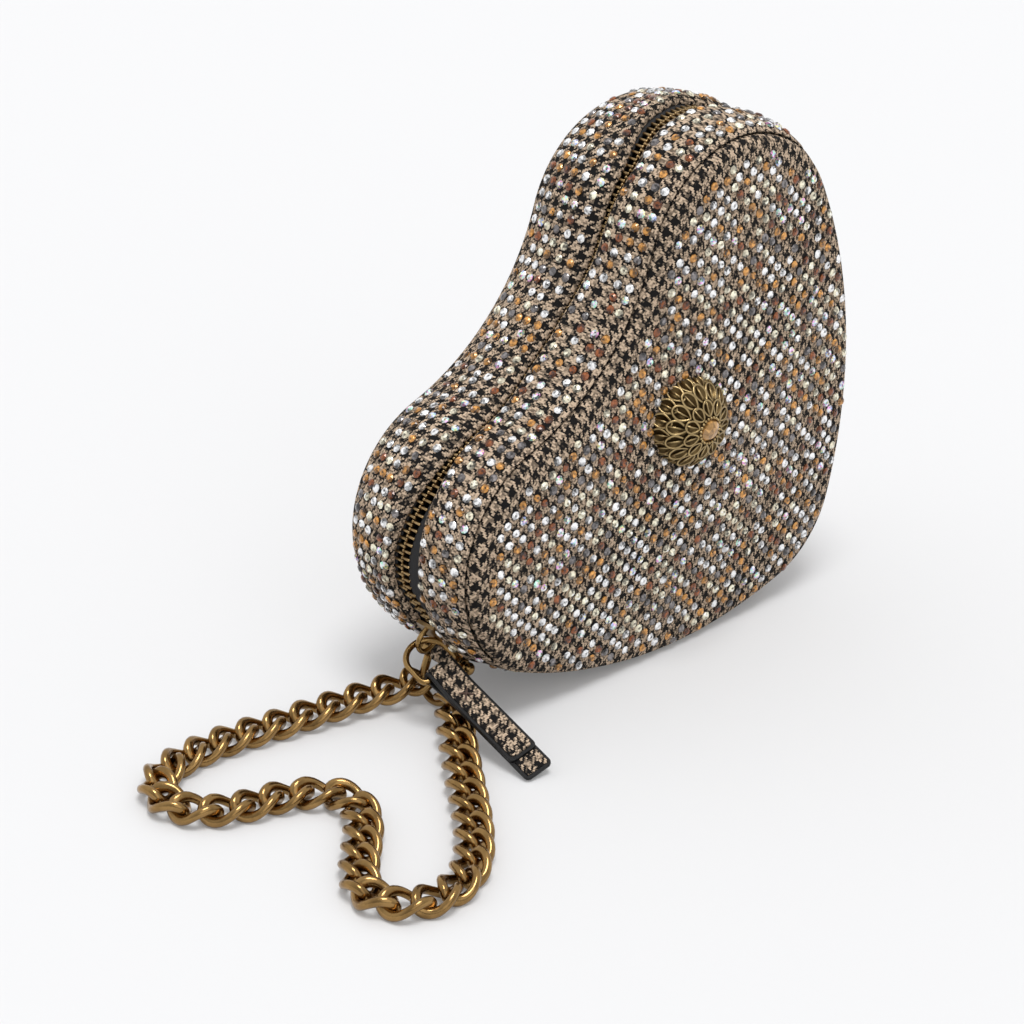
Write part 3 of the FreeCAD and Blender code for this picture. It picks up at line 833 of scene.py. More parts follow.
@dataclass
class HeartOutline:
    """The seam outline as six tangent arcs, and the pose in which the purse stands."""

    lobe_offset: float = 0.0514
    lobe_radius: float = 0.0388
    notch_radius: float = 0.0760
    side_radius: float = 0.1540
    tip_radius: float = 0.0340
    tip_reach: float = 0.1000
    standing_angle: float = 44.5
    flat_depth: float = 0.0004
    zip_inset: float = 0.00085
    step: float = 0.0021

    def __post_init__(self) -> None:
        """Work out the arcs' centres and turns, the zip's runs and the standing pose."""
        lobe = np.array([0.0, self.lobe_offset])
        tip = np.array([self.tip_reach - self.tip_radius, 0.0])
        to_lobe = self.side_radius - self.lobe_radius
        to_tip = self.side_radius - self.tip_radius
        span = float(np.linalg.norm(tip - lobe))
        unit = (tip - lobe) / span
        share = (to_lobe**2 - to_tip**2 + span**2) / (2 * span)
        across = math.sqrt(to_lobe**2 - share**2)
        side = lobe + unit * share + np.array([unit[1], -unit[0]]) * across
        reach = self.notch_radius + self.lobe_radius
        notch = np.array([-math.sqrt(reach**2 - self.lobe_offset**2), 0.0])
        self.lobe, self.tip, self.side, self.notch = lobe, tip, side, notch
        self.notch_turn = math.atan2(*(lobe - notch)[::-1])
        self.shoulder_turn = math.atan2(*(lobe - side)[::-1])
        self.tip_turn = math.atan2(*(tip - side)[::-1])
        self.zip_lobe = self.lobe_radius - self.zip_inset
        self.zip_notch = self.notch_radius + self.zip_inset
        self.lobe_run = (math.pi / 2 + self.notch_turn) * self.zip_lobe
        self.notch_run = 2 * self.notch_turn * self.zip_notch
        self.zip_run = 2 * self.lobe_run + self.notch_run
        self.cosine = math.cos(math.radians(self.standing_angle))
        self.sine = math.sin(math.radians(self.standing_angle))
        low_z = -side[0] * self.sine - side[1] * self.cosine
        self.shift_x = side[1] * self.sine - side[0] * self.cosine
        self.shift_z = self.side_radius - low_z - self.flat_depth

    def run(self, stretch: Stretch) -> OutlineRun:
        """Points along one stretch, from the slider's end of the zip or back to it.

        Args:
            stretch: The zip's stretch or the base's.

        Returns:
            The run.
        """
        half, notch = math.pi / 2, self.notch_turn
        shoulder, tip = self.shoulder_turn, self.tip_turn
        if stretch is Stretch.ZIP:
            arcs = [
                (self.lobe * MIRROR, self.lobe_radius, 3 * half, math.pi - notch, 1),
                (self.notch, self.notch_radius, -notch, notch, -1),
                (self.lobe, self.lobe_radius, math.pi + notch, half, 1),
            ]
        else:
            arcs = [
                (self.lobe, self.lobe_radius, half, shoulder, 1),
                (self.side, self.side_radius, shoulder, tip, 1),
                (self.tip, self.tip_radius, tip, -tip, 1),
                (self.side * MIRROR, self.side_radius, -tip, -shoulder, 1),
                (self.lobe * MIRROR, self.lobe_radius, -shoulder, -half, 1),
            ]
        columns: list[tuple[np.ndarray, float, float, int, float]] = []
        walked = 0.0
        for order, (centre, radius, start, end, sense) in enumerate(arcs):
            length = abs(end - start) * radius
            count = max(3, round(length / self.step))
            for place in range(0 if order == 0 else 1, count + 1):
                share = place / count
                angle = start + (end - start) * share
                columns.append((centre, radius, angle, sense, walked + length * share))
            walked += length
        return OutlineRun(*(np.array(item) for item in zip(*columns)))

    def ring(self, inset: float) -> np.ndarray:
        """The whole outline moved inwards, closed by its first point."""
        zip_run, base_run = (self.run(stretch).at(inset) for stretch in Stretch)
        return np.concatenate([zip_run, base_run[1:]])

    def place(self, heart: np.ndarray, height: np.ndarray | float) -> np.ndarray:
        """Turn heart coordinates into the part's frame.

        Args:
            heart: Pairs along and across the heart's axis.
            height: Distance from the zip plane towards the front.

        Returns:
            Points in the part's frame.
        """
        x, y = heart[..., 0], heart[..., 1]
        along = x * self.cosine + y * self.sine + self.shift_x
        above = -x * self.sine + y * self.cosine + self.shift_z
        return np.stack([along, -np.broadcast_to(height, x.shape), above], axis=-1)

    def zip_frame(self, along: float) -> Matrix:
        """Frame on the zip line: along the zip, to the front and outwards.

        Args:
            along: Distance from the end where the slider rests.

        Returns:
            The frame's matrix.
        """
        if along <= self.lobe_run:
            turn = 1.5 * math.pi - along / self.zip_lobe
            return self.outward_frame(self.lobe * MIRROR, self.zip_lobe, turn)
        if along <= self.lobe_run + self.notch_run:
            turn = (along - self.lobe_run) / self.zip_notch - self.notch_turn
            return self.outward_frame(self.notch, self.zip_notch, turn, -1)
        turn = math.pi / 2 + (self.zip_run - along) / self.zip_lobe
        return self.outward_frame(self.lobe, self.zip_lobe, turn)

    def outward_frame(
        self, centre: np.ndarray, radius: float, angle: float, sense: int = 1
    ) -> Matrix:
        """Frame on an arc of an outline, with its third axis outwards.

        Args:
            centre: The arc's centre in heart coordinates.
            radius: Distance from the centre.
            angle: Direction from the centre.
            sense: 1 where outwards is away from the centre, or -1.

        Returns:
            The frame's matrix.
        """
        way = np.array([math.cos(angle), math.sin(angle)])
        out = Vector(self.place(way * sense, 0.0) - self.place(np.zeros(2), 0.0))
        front = Vector((0.0, -1.0, 0.0))
        return axes(front.cross(out), front, out, self.place(centre + radius * way, 0.0))

    def pose(self, x: float, y: float, height: float) -> Matrix:
        """Frame on the front panel, with its third axis out of it.

        Args:
            x: Place along the heart's axis.
            y: Place across it.
            height: Distance from the zip plane.

        Returns:
            The frame's matrix.
        """
        along, across = (self.cosine, 0.0, -self.sine), (self.sine, 0.0, self.cosine)
        return axes(along, across, (0.0, -1.0, 0.0), self.place(np.array([x, y]), height))


OUTLINE = HeartOutline()


# ---------------------------------------------------------------- cloth pieces


@dataclass
class PanelCover:
    """Padded cloth panel of one shell, drawn down to the seam all round.

    Each row holds an inset from the seam outline and a height above the foot.
    """

    side: Side
    foot: float
    cloth: Material
    rows: Profile = (
        (0.0044, -0.0026),
        (0.0032, -0.0024),
        (0.0025, -0.0016),
        (0.0021, -0.0004),
        (0.0021, 0.0010),
        (0.0026, 0.0020),
        (0.0040, 0.0025),
    )
    crown: float = 0.0061
    heart_middle: Pair = (0.026, 0.0)
    inner_rows: int = 16
    least_ring: float = 0.004
    ply: float = 0.0008
    weld: float = 0.00002

    def build(self) -> Object:
        """Model the panel as rings from the seam to its middle.

        Returns:
            The finished piece.
        """
        rows = np.array(self.rows)
        flat_insets = rows[-1, 0] - lengths(rows[::-1])[::-1]
        rings = [OUTLINE.ring(inset) for inset in rows[:, 0]]
        cloth = [OUTLINE.ring(inset) for inset in flat_insets]
        heights = list(rows[:, 1])
        edge, rise, middle = rings[-1], heights[-1], np.array(self.heart_middle)
        for row in range(1, self.inner_rows + 1):
            share = max(1.0 - row / self.inner_rows, self.least_ring)
            rings.append(middle + (edge - middle) * share)
            cloth.append(rings[-1])
            heights.append(rise + (self.crown - rise) * (1.0 - share**2))
        flat = np.array(rings)
        height = self.side.value * (self.foot + np.array(heights))
        grid = OUTLINE.place(flat, height[:, None])
        turned = self.side is Side.BACK
        piece = skin(self.side.word + "_panel", grid, np.array(cloth), turned)
        with editing(piece):
            bpy.ops.mesh.remove_doubles(threshold=self.weld)
        smooth(thicken(piece, self.ply))
        dress(piece, self.cloth)
        settle(piece, self.side.word + "_cover", self.side.body)
        return piece


@dataclass(frozen=True)
class ZipShift:
    """How far the zip wanders from its plane, and how far the lips beside it close over it.

    Each row holds a place along the zip, the wander towards the front, and how much nearer to the
    zip the front lip and the back lip lie than in their profile.
    """

    rows: tuple[tuple[float, float, float, float], ...] = (
        (0.000, 0.0, 0.0, 0.0),
        (0.010, 0.0, 0.0, 0.0006),
        (0.022, -0.0062, -0.0040, 0.0018),
        (0.032, -0.0058, -0.0034, 0.0020),
        (0.046, -0.0030, -0.0002, 0.0024),
        (0.058, -0.0006, 0.0022, 0.0032),
        (0.070, 0.0008, 0.0040, 0.0041),
        (0.085, 0.0002, 0.0044, 0.0045),
        (0.105, -0.0026, 0.0045, 0.0045),
        (0.122, -0.0024, 0.0045, 0.0045),
        (0.140, 0.0002, 0.0044, 0.0044),
        (0.154, 0.0012, 0.0040, 0.0040),
        (0.170, 0.0010, 0.0031, 0.0030),
        (0.186, -0.0034, 0.0020, 0.0014),
        (0.204, -0.0060, 0.0004, 0.0006),
        (0.224, 0.0, 0.0012, 0.0006),
        (0.240, 0.0, 0.0010, 0.0006),
    )
    fade_end: float = 0.0145
    fade_width: float = 0.0090

    def wander(self, along: np.ndarray | float) -> np.ndarray:
        """The zip's distance in front of its plane at places along it."""
        table = np.array(self.rows)
        return np.interp(along, table[:, 0], table[:, 1])

    def moved(self, along: np.ndarray, height: float) -> np.ndarray:
        """Heights of one row of a band's profile after the shift.

        Args:
            along: Places along the zip.
            height: The row's height above the zip plane.

        Returns:
            A height for each place.
        """
        table = np.array(self.rows)
        column, sense = (2, 1.0) if height > 0 else (3, -1.0)
        close = np.interp(along, table[:, 0], table[:, column])
        share = min(1.0, max(0.0, (self.fade_end - abs(height)) / self.fade_width))
        return height + (self.wander(along) - sense * close) * share


ZIP_SHIFT = ZipShift()
TAPE_SHIFT = ZipShift(tuple((place, wander, 0.0, 0.0) for place, wander, _, _ in ZIP_SHIFT.rows))


@dataclass
class Band:
    """Strip of cloth along a stretch of the outline.

    Each pair of its profile across is a height above the zip plane and a rise above the seam.
    """

    name: str
    stretch: Stretch
    profile: Profile
    cloth: Material
    thickness: float
    flip: bool = True
    floor: float | None = None
    shift: ZipShift | None = None
    grid: np.ndarray = field(init=False)
    along: np.ndarray = field(init=False)
    across: np.ndarray = field(init=False)

    def build(self) -> Object:
        """Model the strip.

        Returns:
            The strip, still to be settled on its body.
        """
        run = OUTLINE.run(self.stretch)
        rows = []
        for height, rise in self.profile:
            heights = self.shift.moved(run.along, height) if self.shift else height
            rows.append(OUTLINE.place(run.at(-rise), heights))
        self.grid = np.array(rows)
        if self.floor is not None:
            self.grid[..., 2] = np.maximum(self.grid[..., 2], self.floor)
        self.across = lengths(np.array(self.profile))
        self.along = run.along
        uv = np.stack(np.meshgrid(self.along, self.across), axis=-1)
        piece = skin(self.name, self.grid, uv, self.flip)
        smooth(thicken(piece, self.thickness))
        dress(piece, self.cloth)
        return piece

    def spot(self, along: float, across: float) -> Spot:
        """A place on the strip.

        Args:
            along: Distance along the outline.
            across: Distance across the strip from its first edge.

        Returns:
            The point and the direction out of the cloth.
        """
        column = float(np.interp(along, self.along, np.arange(len(self.along))))
        row = float(np.interp(across, self.across, np.arange(len(self.across))))
        c, r = min(int(column), len(self.along) - 2), min(int(row), len(self.across) - 2)
        u, v = column - c, row - r
        low = self.grid[r, c] * (1 - u) + self.grid[r, c + 1] * u
        high = self.grid[r + 1, c] * (1 - u) + self.grid[r + 1, c + 1] * u
        way = np.cross(self.grid[r, c + 1] - self.grid[r, c], high - low)
        if self.flip:
            way = -way
        return low * (1 - v) + high * v, way / np.linalg.norm(way)


# ---------------------------------------------------------------- stones


class Tint(Enum):
    """Colours of the cut stones, with their share of the whole."""

    CLEAR = ((0.95, 0.95, 0.96), 0.31)
    CHAMPAGNE = ((0.86, 0.79, 0.60), 0.17)
    AMBER = ((0.54, 0.25, 0.055), 0.17)
    COPPER = ((0.22, 0.060, 0.012), 0.13)
    SMOKE = ((0.17, 0.155, 0.155), 0.09)
    AURORA = ((0.92, 0.90, 0.95), 0.13)

    @property
    def colour(self) -> Colour:
        """The stone's colour."""
        return self.value[0]

    @property
    def share(self) -> float:
        """The stone's share of the whole."""
        return self.value[1]


# Facets to a side of a stone's wall, crown and table, with their darkest and brightest level of
# painted reflection
FACET_GLINT_LEVELS = ((1, 0.2, 0.8), (2, 0.15, 1.2), (1, 0.35, 1.5))
# Colours of the reflections that the coating of an aurora stone throws, painted on some of its
# facets
AURORA_REFLECTIONS = np.array([[0.95, 0.40, 0.75], [0.45, 0.9, 0.65], [0.5, 0.6, 1.0], [1.0, 0.9, 0.45]])


@dataclass
class StoneField:
    """Cut stones set on cloth, each a low cone of facets round a flat table."""

    name: str
    spots: list[Spot]
    glass: Material
    seed: int
    radius: float = 0.00142
    girdle: float = 0.00018
    height: float = 0.00075
    table: float = 0.58
    sides: int = 8
    sunk: float = 0.0002
    tilt: float = 0.07
    reflection_share: float = 0.55

    def template(self) -> tuple[np.ndarray, list[list[int]]]:
        """One stone at the origin.

        Returns:
            Its points and its faces.
        """
        turn = np.arange(self.sides) * 2 * math.pi / self.sides
        half = turn + math.pi / self.sides
        ring = np.stack([np.cos(turn), np.sin(turn)], axis=1)
        inner = np.stack([np.cos(half), np.sin(half)], axis=1) * self.table
        levels = ((ring, -self.sunk), (ring, self.girdle), (inner, self.height * 0.88))
        points = [np.c_[flat * self.radius, np.full(self.sides, high)] for flat, high in levels]
        points.append(np.array([[0.0, 0.0, self.height]]))
        mid, top = self.sides, 2 * self.sides
        wall, crown, table = [], [], []
        for i in range(self.sides):
            j = (i + 1) % self.sides
            wall.append([i, j, mid + j, mid + i])
            crown += [[mid + i, mid + j, top + i], [mid + j, top + j, top + i]]
            table.append([top + i, top + j, 3 * self.sides])
        return np.concatenate(points), wall + crown + table

    def tints_and_glints(self, chance: np.random.Generator) -> np.ndarray:
        """Colours of one stone's facets: its tint with painted reflections, bright on one side and
        dark on the other.

        Args:
            chance: The seeded generator.

        Returns:
            One colour for each facet.
        """
        tints = list(Tint)
        tint = tints[chance.choice(len(tints), p=[item.share for item in tints])]
        turn = np.arange(self.sides) * 2 * math.pi / self.sides
        levels = []
        # Painted light: each facet's level rises towards a random bearing, as if lit from that
        # side, and stands in for the reflections in the foiled glass
        for facets, low, high in FACET_GLINT_LEVELS:
            bearing = np.repeat(turn, facets)
            facing = 0.5 + 0.5 * np.cos(bearing - chance.uniform(0, 2 * math.pi))
            levels.append(low + (high - low) * facing + chance.normal(0.0, 0.2, len(bearing)))
        level = np.clip(np.concatenate(levels), 0.06, 1.6)
        tints_and_glints = level[:, None] * np.array(tint.colour) * chance.uniform(0.75, 1.15)
        # Painted reflections: a share of an aurora stone's facets take a coating colour times their
        # painted level
        if tint is Tint.AURORA:
            lit = chance.random(len(level)) < self.reflection_share
            fire = AURORA_REFLECTIONS[chance.integers(0, len(AURORA_REFLECTIONS), lit.sum())]
            tints_and_glints[lit] = fire * level[lit, None]
        return np.clip(tints_and_glints, 0.0, 1.0)

    def build(self) -> Object:
        """Model the stones as one piece.

        Returns:
            The piece, still to be settled on its body.
        """
        chance = np.random.default_rng(self.seed)
        shape, faces = self.template()
        points, polygons, colours = [], [], []
        for number, (spot, way) in enumerate(self.spots):
            normal = way + chance.normal(0.0, self.tilt, 3)
            normal /= np.linalg.norm(normal)
            side = np.cross(normal, chance.normal(size=3))
            side /= np.linalg.norm(side)
            turn = np.stack([side, np.cross(normal, side), normal])
            points.append(spot + (shape * chance.uniform(0.94, 1.06)) @ turn)
            start = number * len(shape)
            polygons.extend([[start + corner for corner in face] for face in faces])
            colours.append(self.tints_and_glints(chance))
        piece = mesh_piece(self.name, np.concatenate(points), polygons)
        piece.data.attributes.new("facet", "FLOAT_COLOR", "FACE")
        colour_facets(piece, np.concatenate(colours))
        dress(piece, self.glass)
        return piece


def colour_facets(piece: Object, tints_and_glints: np.ndarray) -> None:
    """Write the facets' colours, painted reflections included, to their attribute.

    Args:
        piece: The stones.
        tints_and_glints: One colour for each facet.
    """
    rgba = np.c_[tints_and_glints, np.ones(len(tints_and_glints))].astype(np.float32)
    piece.data.attributes["facet"].data.foreach_set("color", rgba.ravel())


def inside(spot: np.ndarray, corners: np.ndarray) -> bool:
    """Whether a place lies inside a closed outline.

    Args:
        spot: A pair of coordinates.
        corners: The outline's points in order.

    Returns:
        True inside.
    """
    x, y = corners[:, 0], corners[:, 1]
    nx, ny = np.roll(x, -1), np.roll(y, -1)
    crosses = (y > spot[1]) != (ny > spot[1])
    with np.errstate(divide="ignore", invalid="ignore"):
        at = x + (spot[1] - y) * (nx - x) / (ny - y)
    return bool(np.sum(crosses & (spot[0] < at)) % 2)


@dataclass
class StoneSetter:
    """Chooses where stones sit on the panels and the bands."""

    pitch: float = 0.0042
    panel_pitch: Pair = (0.00375, 0.0040)
    panel_rows: range = range(-14, 32)
    panel_columns: range = range(-23, 24)
    fill: float = 0.93
    zip_margin: float = 0.0066
    base_margin: float = 0.0036
    band_start: float = 0.003
    band_ends: float = 0.004
    drift: float = 0.00022
    far: float = 0.08

    def on_panel(self, panel: Object, side: Side, seed: int, keep_out: float) -> list[Spot]:
        """Places on a panel, in rows along the heart's axis.

        Args:
            panel: The cloth that carries them.
            side: The panel's shell.
            seed: Seed of the choice.
            keep_out: Radius that the ornament covers, or 0.

        Returns:
            Pairs of a point and the direction out of the cloth.
        """
        chance = np.random.default_rng(seed)
        tree = BVHTree.FromObject(panel, bpy.context.evaluated_depsgraph_get())
        zip_line, base_line = (OUTLINE.run(stretch).at(0.0) for stretch in Stretch)
        corners = np.concatenate([zip_line, base_line])
        margins = (
            (zip_line, self.zip_margin),
            (base_line, self.base_margin),
            (np.array([Medallion.place]), keep_out),
        )
        spots = []
        for row in self.panel_rows:
            for column in self.panel_columns:
                flat = np.array([row, column]) * self.panel_pitch + chance.normal(0, self.drift, 2)
                if not inside(flat, corners) or chance.random() > self.fill:
                    continue
                if any(np.min(np.linalg.norm(line - flat, axis=1)) < gap for line, gap in margins):
                    continue
                above = Vector(OUTLINE.place(flat, side.value * self.far))
                hit, normal, _, _ = tree.ray_cast(above, Vector((0.0, side.value, 0.0)))
                if hit is not None:
                    spots.append((np.array(hit), np.array(normal)))
        return spots

    def on_band(self, band: Band, seed: int, start: float, spare: float, step: float) -> list[Spot]:
        """Places on a band, in rows across it.

        Args:
            band: The strip that carries them.
            seed: Seed of the choice.
            start: First row's distance across the strip.
            spare: Width left bare at the strip's last edge.
            step: Distance between the rows.

        Returns:
            Pairs of a point and the direction out of the cloth.
        """
        chance = np.random.default_rng(seed)
        spots = []
        rows = int((band.across[-1] - spare - start) / step) + 1
        for place in range(int((band.along[-1] - self.band_ends) / self.pitch)):
            for row in range(rows):
                if chance.random() > self.fill:
                    continue
                along = self.band_start + place * self.pitch + chance.normal(0, self.drift)
                across = start + row * step + chance.normal(0, self.drift)
                spots.append(band.spot(along, across))
        return spots


# ---------------------------------------------------------------- purse


# First row of stones, bare width at the seam and distance between rows, on each shell's band
BAND_ROWS = {Side.FRONT: (0.0056, 0.0075, 0.0036), Side.BACK: (0.0064, 0.0062, 0.0037)}


@dataclass
class PurseBody:
    """Panels, bands, linings and zip tapes of both shells, with their stones."""

    setter: StoneSetter
    front_foot: float = 0.0210
    back_foot: float = 0.0279
    lip: Profile = (
        (0.0064, -0.0016),
        (0.0054, -0.0006),
        (0.0051, 0.0004),
        (0.0056, 0.0014),
        (0.0070, 0.0022),
        (0.0092, 0.0026),
    )
    crown_shares: tuple[float, ...] = (0.2, 0.4, 0.6, 0.75, 0.88, 0.96, 1.0)
    seam_dip: float = 0.0005
    groove: Profile = (
        (-0.0004, -0.0009),
        (-0.0014, -0.0013),
        (-0.0024, -0.0021),
        (-0.0027, -0.0044),
    )
    band_ply: float = 0.0010
    tape_heights: tuple[float, ...] = (0.0026, 0.0040, 0.0054, 0.0070, 0.0110)
    tape_depth: float = 0.0005
    tape_ply: float = 0.0007
    lining_ply: float = 0.0005
    lining_inset: float = 0.0023
    lining_gap: float = 0.0006
    lining_middle: Pair = (0.022, 0.0)
    lining_shares: tuple[float, ...] = (1.0, 0.8, 0.6, 0.4, 0.2, 0.004)
    base_shares: tuple[float, ...] = (
        0.0, 0.03, 0.08, 0.16, 0.28, 0.42, 0.58, 0.72, 0.84, 0.92, 0.97, 1.0
    )
    base_swell: float = 0.0013
    base_draw: float = 0.0006
    base_hem: Pair = (0.0004, -0.0018)
    base_rows: Pair = (0.0062, 0.0055)
    base_floor: float = 0.0001
    stone_floor: float = 0.0025
    base_lining: Pair = (0.0008, -0.0024)
    lining_floor: float = 0.0015
    fold_start: Point = (0.0, 0.0260, 0.05)
    fold_end: Point = (0.0, -0.0195, 0.05)

    def __post_init__(self) -> None:
        """Make the finishes that the shells share."""
        self.wool = Houndstooth("houndstooth cloth").material()
        self.lining = PlainWeave("lining cloth", (0.016, 0.0145, 0.014)).material()
        webbing = PlainWeave("zip tape cloth", (0.0075, 0.0075, 0.0085), 1500.0, 0.8)
        self.tape = webbing.material()
        self.glass = CutGlass("cut stones").material()
        self.board = PlainStock("stiffening board", (0.30, 0.24, 0.18), 0.8).material()

    def build(self) -> None:
        """Model and dress the soft parts of both shells."""
        for side, foot in ((Side.FRONT, self.front_foot), (Side.BACK, self.back_foot)):
            panel = PanelCover(side, foot, self.wool).build()
            keep_out = Medallion.reach + Medallion.clear if side is Side.FRONT else 0.0
            spots = self.setter.on_panel(panel, side, 11 + side.value, keep_out)
            self.set_stones(side.word + "_panel_stones", spots, side)
            self.build_zip_band(side, foot)
            self.build_tape(side)
            self.build_lining(side, foot)
            dress_node(side.word + "_board", self.board)
        self.build_base()

    def set_stones(self, name: str, spots: list[Spot], side: Side) -> None:
        """Model stones that ride on one shell.

        Args:
            name: The piece's name.
            spots: Where the stones sit.
            side: The shell.
        """
        piece = StoneField(name, spots, self.glass, seed=len(spots)).build()
        settle(piece, body=side.body)

    def band_profile(self, foot: float) -> Profile:
        """Profile of a crowned band from its rolled lip to the groove at the seam.

        Args:
            foot: The seam's distance from the zip plane.

        Returns:
            Pairs of a height and a rise above the seam outline.
        """
        start, crown = self.lip[-1]
        rest = []
        for share in self.crown_shares:
            rise = crown * (1.0 - share**1.7) - self.seam_dip * share**9
            rest.append((start + (foot - start) * share, rise))
        return self.lip + tuple(rest) + tuple((foot + high, rise) for high, rise in self.groove)

    def build_zip_band(self, side: Side, foot: float) -> None:
        """Model the crowned band beside the zip and its stones.

        Args:
            side: The shell.
            foot: The seam's distance from the zip plane.
        """
        profile = tuple((side.value * height, rise) for height, rise in self.band_profile(foot))
        turned = side is Side.FRONT
        band = Band(
            side.word + "_band", Stretch.ZIP, profile, self.wool, self.band_ply, turned,
            shift=ZIP_SHIFT,
        )
        piece = band.build()
        settle(piece, side.word + "_gusset", side.body)
        spots = self.setter.on_band(band, 31 + side.value, *BAND_ROWS[side])
        self.set_stones(side.word + "_band_stones", spots, side)

    def build_tape(self, side: Side) -> None:
        """Model the woven tape that carries one row of teeth.

        Args:
            side: The shell.
        """
        profile = tuple((side.value * height, -self.tape_depth) for height in self.tape_heights)
        turned = side is Side.FRONT
        band = Band(
            side.word + "_tape", Stretch.ZIP, profile, self.tape, self.tape_ply, turned,
            shift=TAPE_SHIFT,
        )
        settle(band.build(), side.word + "_zip_tape", side.body)

    def build_lining(self, side: Side, foot: float) -> None:
        """Model the lining of one panel.

        Args:
            side: The shell.
            foot: The seam's distance from the zip plane.
        """
        edge = OUTLINE.ring(self.lining_inset)
        middle = np.array(self.lining_middle)
        flat = np.array([middle + (edge - middle) * share for share in self.lining_shares])
        grid = OUTLINE.place(flat, side.value * (foot - self.lining_gap))
        piece = skin(side.word + "_lining_cloth", grid, flat, side is Side.FRONT)
        smooth(thicken(piece, self.lining_ply))
        dress(piece, self.lining)
        settle(piece, side.word + "_lining", side.body)

    def build_base(self) -> None:
        """Model the band round the tip, with its stones and its lining."""
        low, high = -self.back_foot, self.front_foot
        over, under = self.base_hem
        profile = [(low - over, under)]
        for share in self.base_shares:
            off = abs(2 * share - 1.0)
            swell = self.base_swell * (1.0 - off**3) - self.base_draw * off**8
            profile.append((low + (high - low) * share, swell))
        profile.append((high + over, under))
        outer = tuple(profile)
        band = Band(
            "base_band", Stretch.BASE, outer, self.wool, self.band_ply, floor=self.base_floor
        )
        piece = band.build()
        settle(piece, "base_gusset")
        spots = self.setter.on_band(band, 57, *self.base_rows, self.setter.pitch)
        low_rim = self.stone_floor
        clear = [(at, way) for at, way in spots if at[2] > low_rim or abs(way[2]) < 0.9]
        stones = StoneField("base_band_stones", clear, self.glass, seed=5).build()
        settle(stones)
        short, deep = self.base_lining
        inner = tuple((height, deep) for height in (low + short, low / 2, 0.0, high - short))
        sheet = Band(
            "base_lining_cloth", Stretch.BASE, inner, self.lining, self.lining_ply,
            floor=self.lining_floor,
        )
        cloth = sheet.build()
        settle(cloth, "base_lining")
        for soft in (piece, stones, cloth):
            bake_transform(soft)


